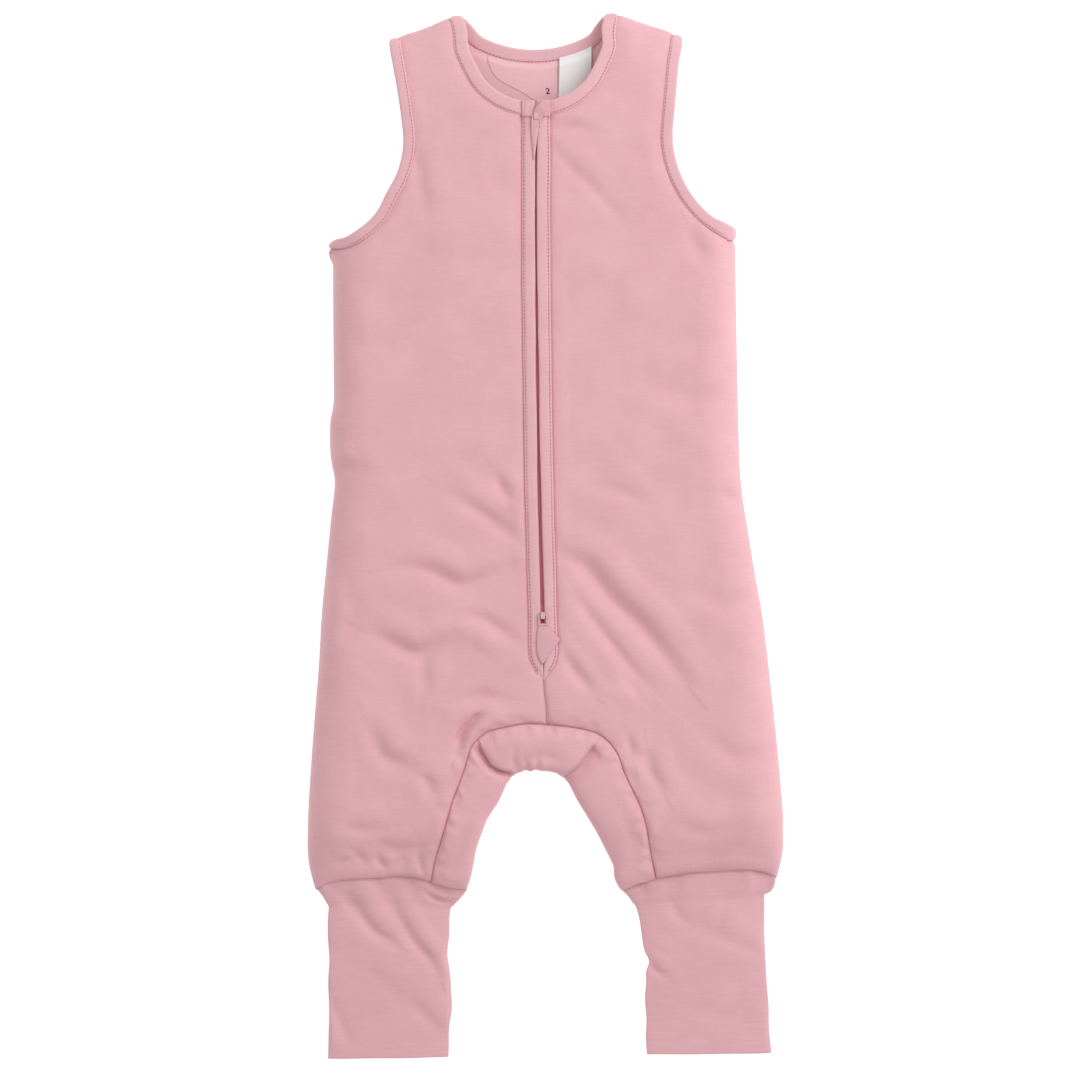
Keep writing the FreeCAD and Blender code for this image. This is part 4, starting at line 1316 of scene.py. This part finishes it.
def build_facing():
    """The half-moon behind the neck, with an overlocked edge of close threads."""
    half_moon = [(-36, 361), (-33.5, 353), (-29, 346.5), (-21, 342), (-10, 336.5), (-1, 329.5), (9, 326.5),
                 (20, 330), (30, 340), (36, 352), (39, 361)]
    edge = smooth_line(resample(np.array(half_moon), 90), 10)
    top = np.interp(np.abs(edge[:, 0]), BACK_NECK_SEAM[:, 0], BACK_NECK_SEAM[:, 1]) + 3.0
    upper = np.column_stack([edge[:, 0], np.maximum(top, edge[:, 1] + 0.05)])
    t = np.linspace(0, 1, 60)[:, None, None]
    grid = edge * (1 - t) + upper * t
    z = lining_height(grid[..., 0], grid[..., 1]) + FACING_LIFT
    sheet = np.concatenate([grid, z[..., None]], -1)
    piece = pad("neck_facing_cloth", sheet, sheet - (0, 0, FACING_THICK), LINING)
    declare(piece, "lining_cloth", "back_neck_facing")
    fine = resample(edge, 400)
    path = lifted(fine, lining_height(fine[:, 0], fine[:, 1]) + FACING_LIFT)
    s = np.arange(1, lengths(path)[-1] - 1, OVERLOCK_PITCH)
    way = along(path, s + 0.3) - along(path, s - 0.3)
    across = np.stack([-way[:, 1] + 0.4 * way[:, 0], way[:, 0] + 0.4 * way[:, 1], 0 * s], 1)
    rod = capsule(OVERLOCK_LENGTH, OVERLOCK_RADIUS)
    declare(repeated("facing_overlock", rod, along(path, s), across, THREAD_LIGHT), "lining_cloth")


def build_label():
    """A blank satin label hanging from the binding, with a slight curl."""
    low, high = box_mm("neck_label")
    u, v = np.meshgrid(np.linspace(0, 1, 40), np.linspace(0, 1, 60))
    x = low[0] + (high[0] - low[0]) * u - 1.2 * v
    y_sewn = np.interp(x, BACK_NECK_SEAM[:, 0], BACK_NECK_SEAM[:, 1]) + 1.2
    y = y_sewn - (y_sewn - low[1]) * v
    z = lining_height(x, y) + 1.8 + 0.9 * np.sin(np.pi * u) * v + 0.25 * np.sin(2.2 * np.pi * v)
    top = np.stack([x, y, z], -1)
    piece = pad("neck_label_satin", top, top - (0, 0, LABEL_THICK), SATIN)
    declare(piece, "label", "neck_label")


def build_print():
    """A plain size numeral printed on the facing."""
    curve = bpy.data.curves.new("size_numeral", "FONT")
    curve.body = "2"
    curve.size, curve.offset, curve.extrude = NUMERAL_SIZE * MM, 0.12 * MM, 0.04 * MM
    letters = linked("size_numeral_text", curve)
    bpy.context.view_layer.update()
    mesh = bpy.data.meshes.new_from_object(letters)
    bpy.data.objects.remove(letters)
    z = lining_height(np.array([9.0]), np.array([337.0]))[0] + FACING_LIFT + 0.16
    mesh.transform(Matrix.Translation(Vector((*NUMERAL_PLACE, z)) * MM))
    mesh.materials.append(INK)
    declare(linked("size_numeral", mesh), "label")


build_facing()
build_label()
build_print()


# Pulls

RIBBON_THICK = 0.9


def ribbon_tab(name, left_edge, right_edge, z, node, bulge):
    """A folded ribbon lying on the strips, between a left and a right edge given from its top to its tip."""
    rows, columns = 60, 24
    left, right = (resample(smooth_line(resample(np.array(edge, float), 40), 2), rows)[:, None]
                   for edge in (left_edge, right_edge))
    u, v = np.meshgrid(np.linspace(0, 1, columns), np.linspace(0, 1, rows))
    x, y = np.moveaxis(left * (1 - u[..., None]) + right * u[..., None], -1, 0)
    height = np.broadcast_to(np.reshape(z, (-1, 1)), x.shape)
    crown = bulge * np.sin(np.pi * u) ** 0.7 * np.sin(np.pi * np.clip(v, 0.02, 0.98)) ** 0.5
    deep = RIBBON_THICK * np.sin(np.pi * np.clip(u, 0.05, 0.95)) ** 0.4
    piece = pad(name, np.stack([x, y, height + crown], -1), np.stack([x, y, height - deep], -1), RIBBON)
    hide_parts(node)
    return piece


def build_pulls():
    """The upper ribbon hangs over its slider and lies on the strips below it; the lower one turns as a whole
    with the lower pull.
    """
    z_low = Z_STRIP + 1.3
    z_over = z_low + 2.6 * ease((np.linspace(1, 0, 60) - 0.66) / 0.24)
    y = Y_FRONT_NECK
    left = [(5.2, y + 1.2), (-1.4, y - 6), (-4.2, y - 15), (-3.6, y - 26), (-2.6, y - 35), (-1.7, y - 43.5)]
    right = [(9.6, y - 2.5), (5.0, y - 11), (2.0, y - 20), (0.9, y - 27), (0.0, y - 35), (-1.2, y - 43.5)]
    upper = ribbon_tab("upper_pull_tab", left, right, z_over, "upper_pull_ribbon", 0.7)
    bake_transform(upper)
    y = box_mm("lower_pull_eye")[0][1]
    left = [(-2.6, y + 1.6), (-4.2, y - 4), (-5.0, y - 12), (-4.4, y - 22), (-1.0, y - 29)]
    right = [(1.6, y + 1.6), (6.5, y - 4.5), (13.2, y - 10.5), (7, y - 18), (-0.6, y - 29)]
    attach(ribbon_tab("lower_pull_tab", left, right, z_low, "lower_pull_ribbon", 0.6), "lower_pull")


build_pulls()


# Finishes of the pieces kept as they are

FINISHES = {
    "upper_slider": ENAMEL, "lower_slider": ENAMEL, "upper_pull_eye": ENAMEL, "lower_pull_eye": ENAMEL,
    "zip_tape_left": TAPE_WITH_PAINTED_BOUNCE, "zip_tape_right": TAPE_WITH_PAINTED_BOUNCE, "zip_top_stops": COIL_WITH_PAINTED_BOUNCE, "zip_bottom_stop": COIL_WITH_PAINTED_BOUNCE,
}


for name, material in FINISHES.items():
    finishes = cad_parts[name].data.materials
    finishes.clear()
    finishes.append(material)


# Floor, lights and camera

def build_stage():
    """A wide pale floor that gives off enough light to look white."""
    size = 6.0
    mesh = bpy.data.meshes.new("floor")
    corners = [(-size, -size, 0), (size, -size, 0), (size, size, 0), (-size, size, 0)]
    mesh.from_pydata(corners, [], [(0, 1, 2, 3)])
    material, _, shader = new_material("pale_floor")
    set_values(shader, {"Base Color": (0.5, 0.5, 0.5, 1), "Roughness": 0.9,
                        "Emission Color": (1, 1, 1, 1), "Emission Strength": 0.74})
    mesh.materials.append(material)
    linked("floor", mesh)


def area_light(name, place, size, watts):
    """A white disk that faces the middle of the suit."""
    data = bpy.data.lights.new(name, "AREA")
    data.shape, data.size, data.energy = "DISK", size, watts
    lamp = linked(name, data)
    lamp.location = place
    lamp.rotation_euler = (-Vector(place)).to_track_quat("-Z", "Y").to_euler()


def build_lights():
    """An even white surround, a key light over the wearer's left shoulder and a weak one opposite."""
    world = bpy.data.worlds.new("studio")
    world.use_nodes = True
    set_values(world.node_tree.nodes["Background"], {"Color": (1, 1, 1, 1), "Strength": 0.60})
    bpy.context.scene.world = world
    area_light("key", (1.42, 0.95, 1.40), 1.6, 26.2)
    area_light("fill", (-1.2, 0.8, 2.0), 1.6, 4.5)


def build_camera():
    """Straight above the middle of the suit, turned by three quarters of a degree, with a long lens.

    The focal length is the sensor's width times the distance to the suit's upper side, over the width seen.
    """
    data = bpy.data.cameras.new("camera")
    height, view_width, suit_height, sensor = 2.6, 0.810, 0.028, 36.0
    data.sensor_width, data.lens = sensor, sensor * (height - suit_height) / view_width
    camera = linked("camera", data)
    camera.location = (-0.0014, -0.002, height)
    camera.rotation_euler = (0, 0, math.radians(-0.75))
    bpy.context.scene.camera = camera


build_stage()
build_lights()
build_camera()
bpy.context.scene.view_settings.view_transform = "Standard"
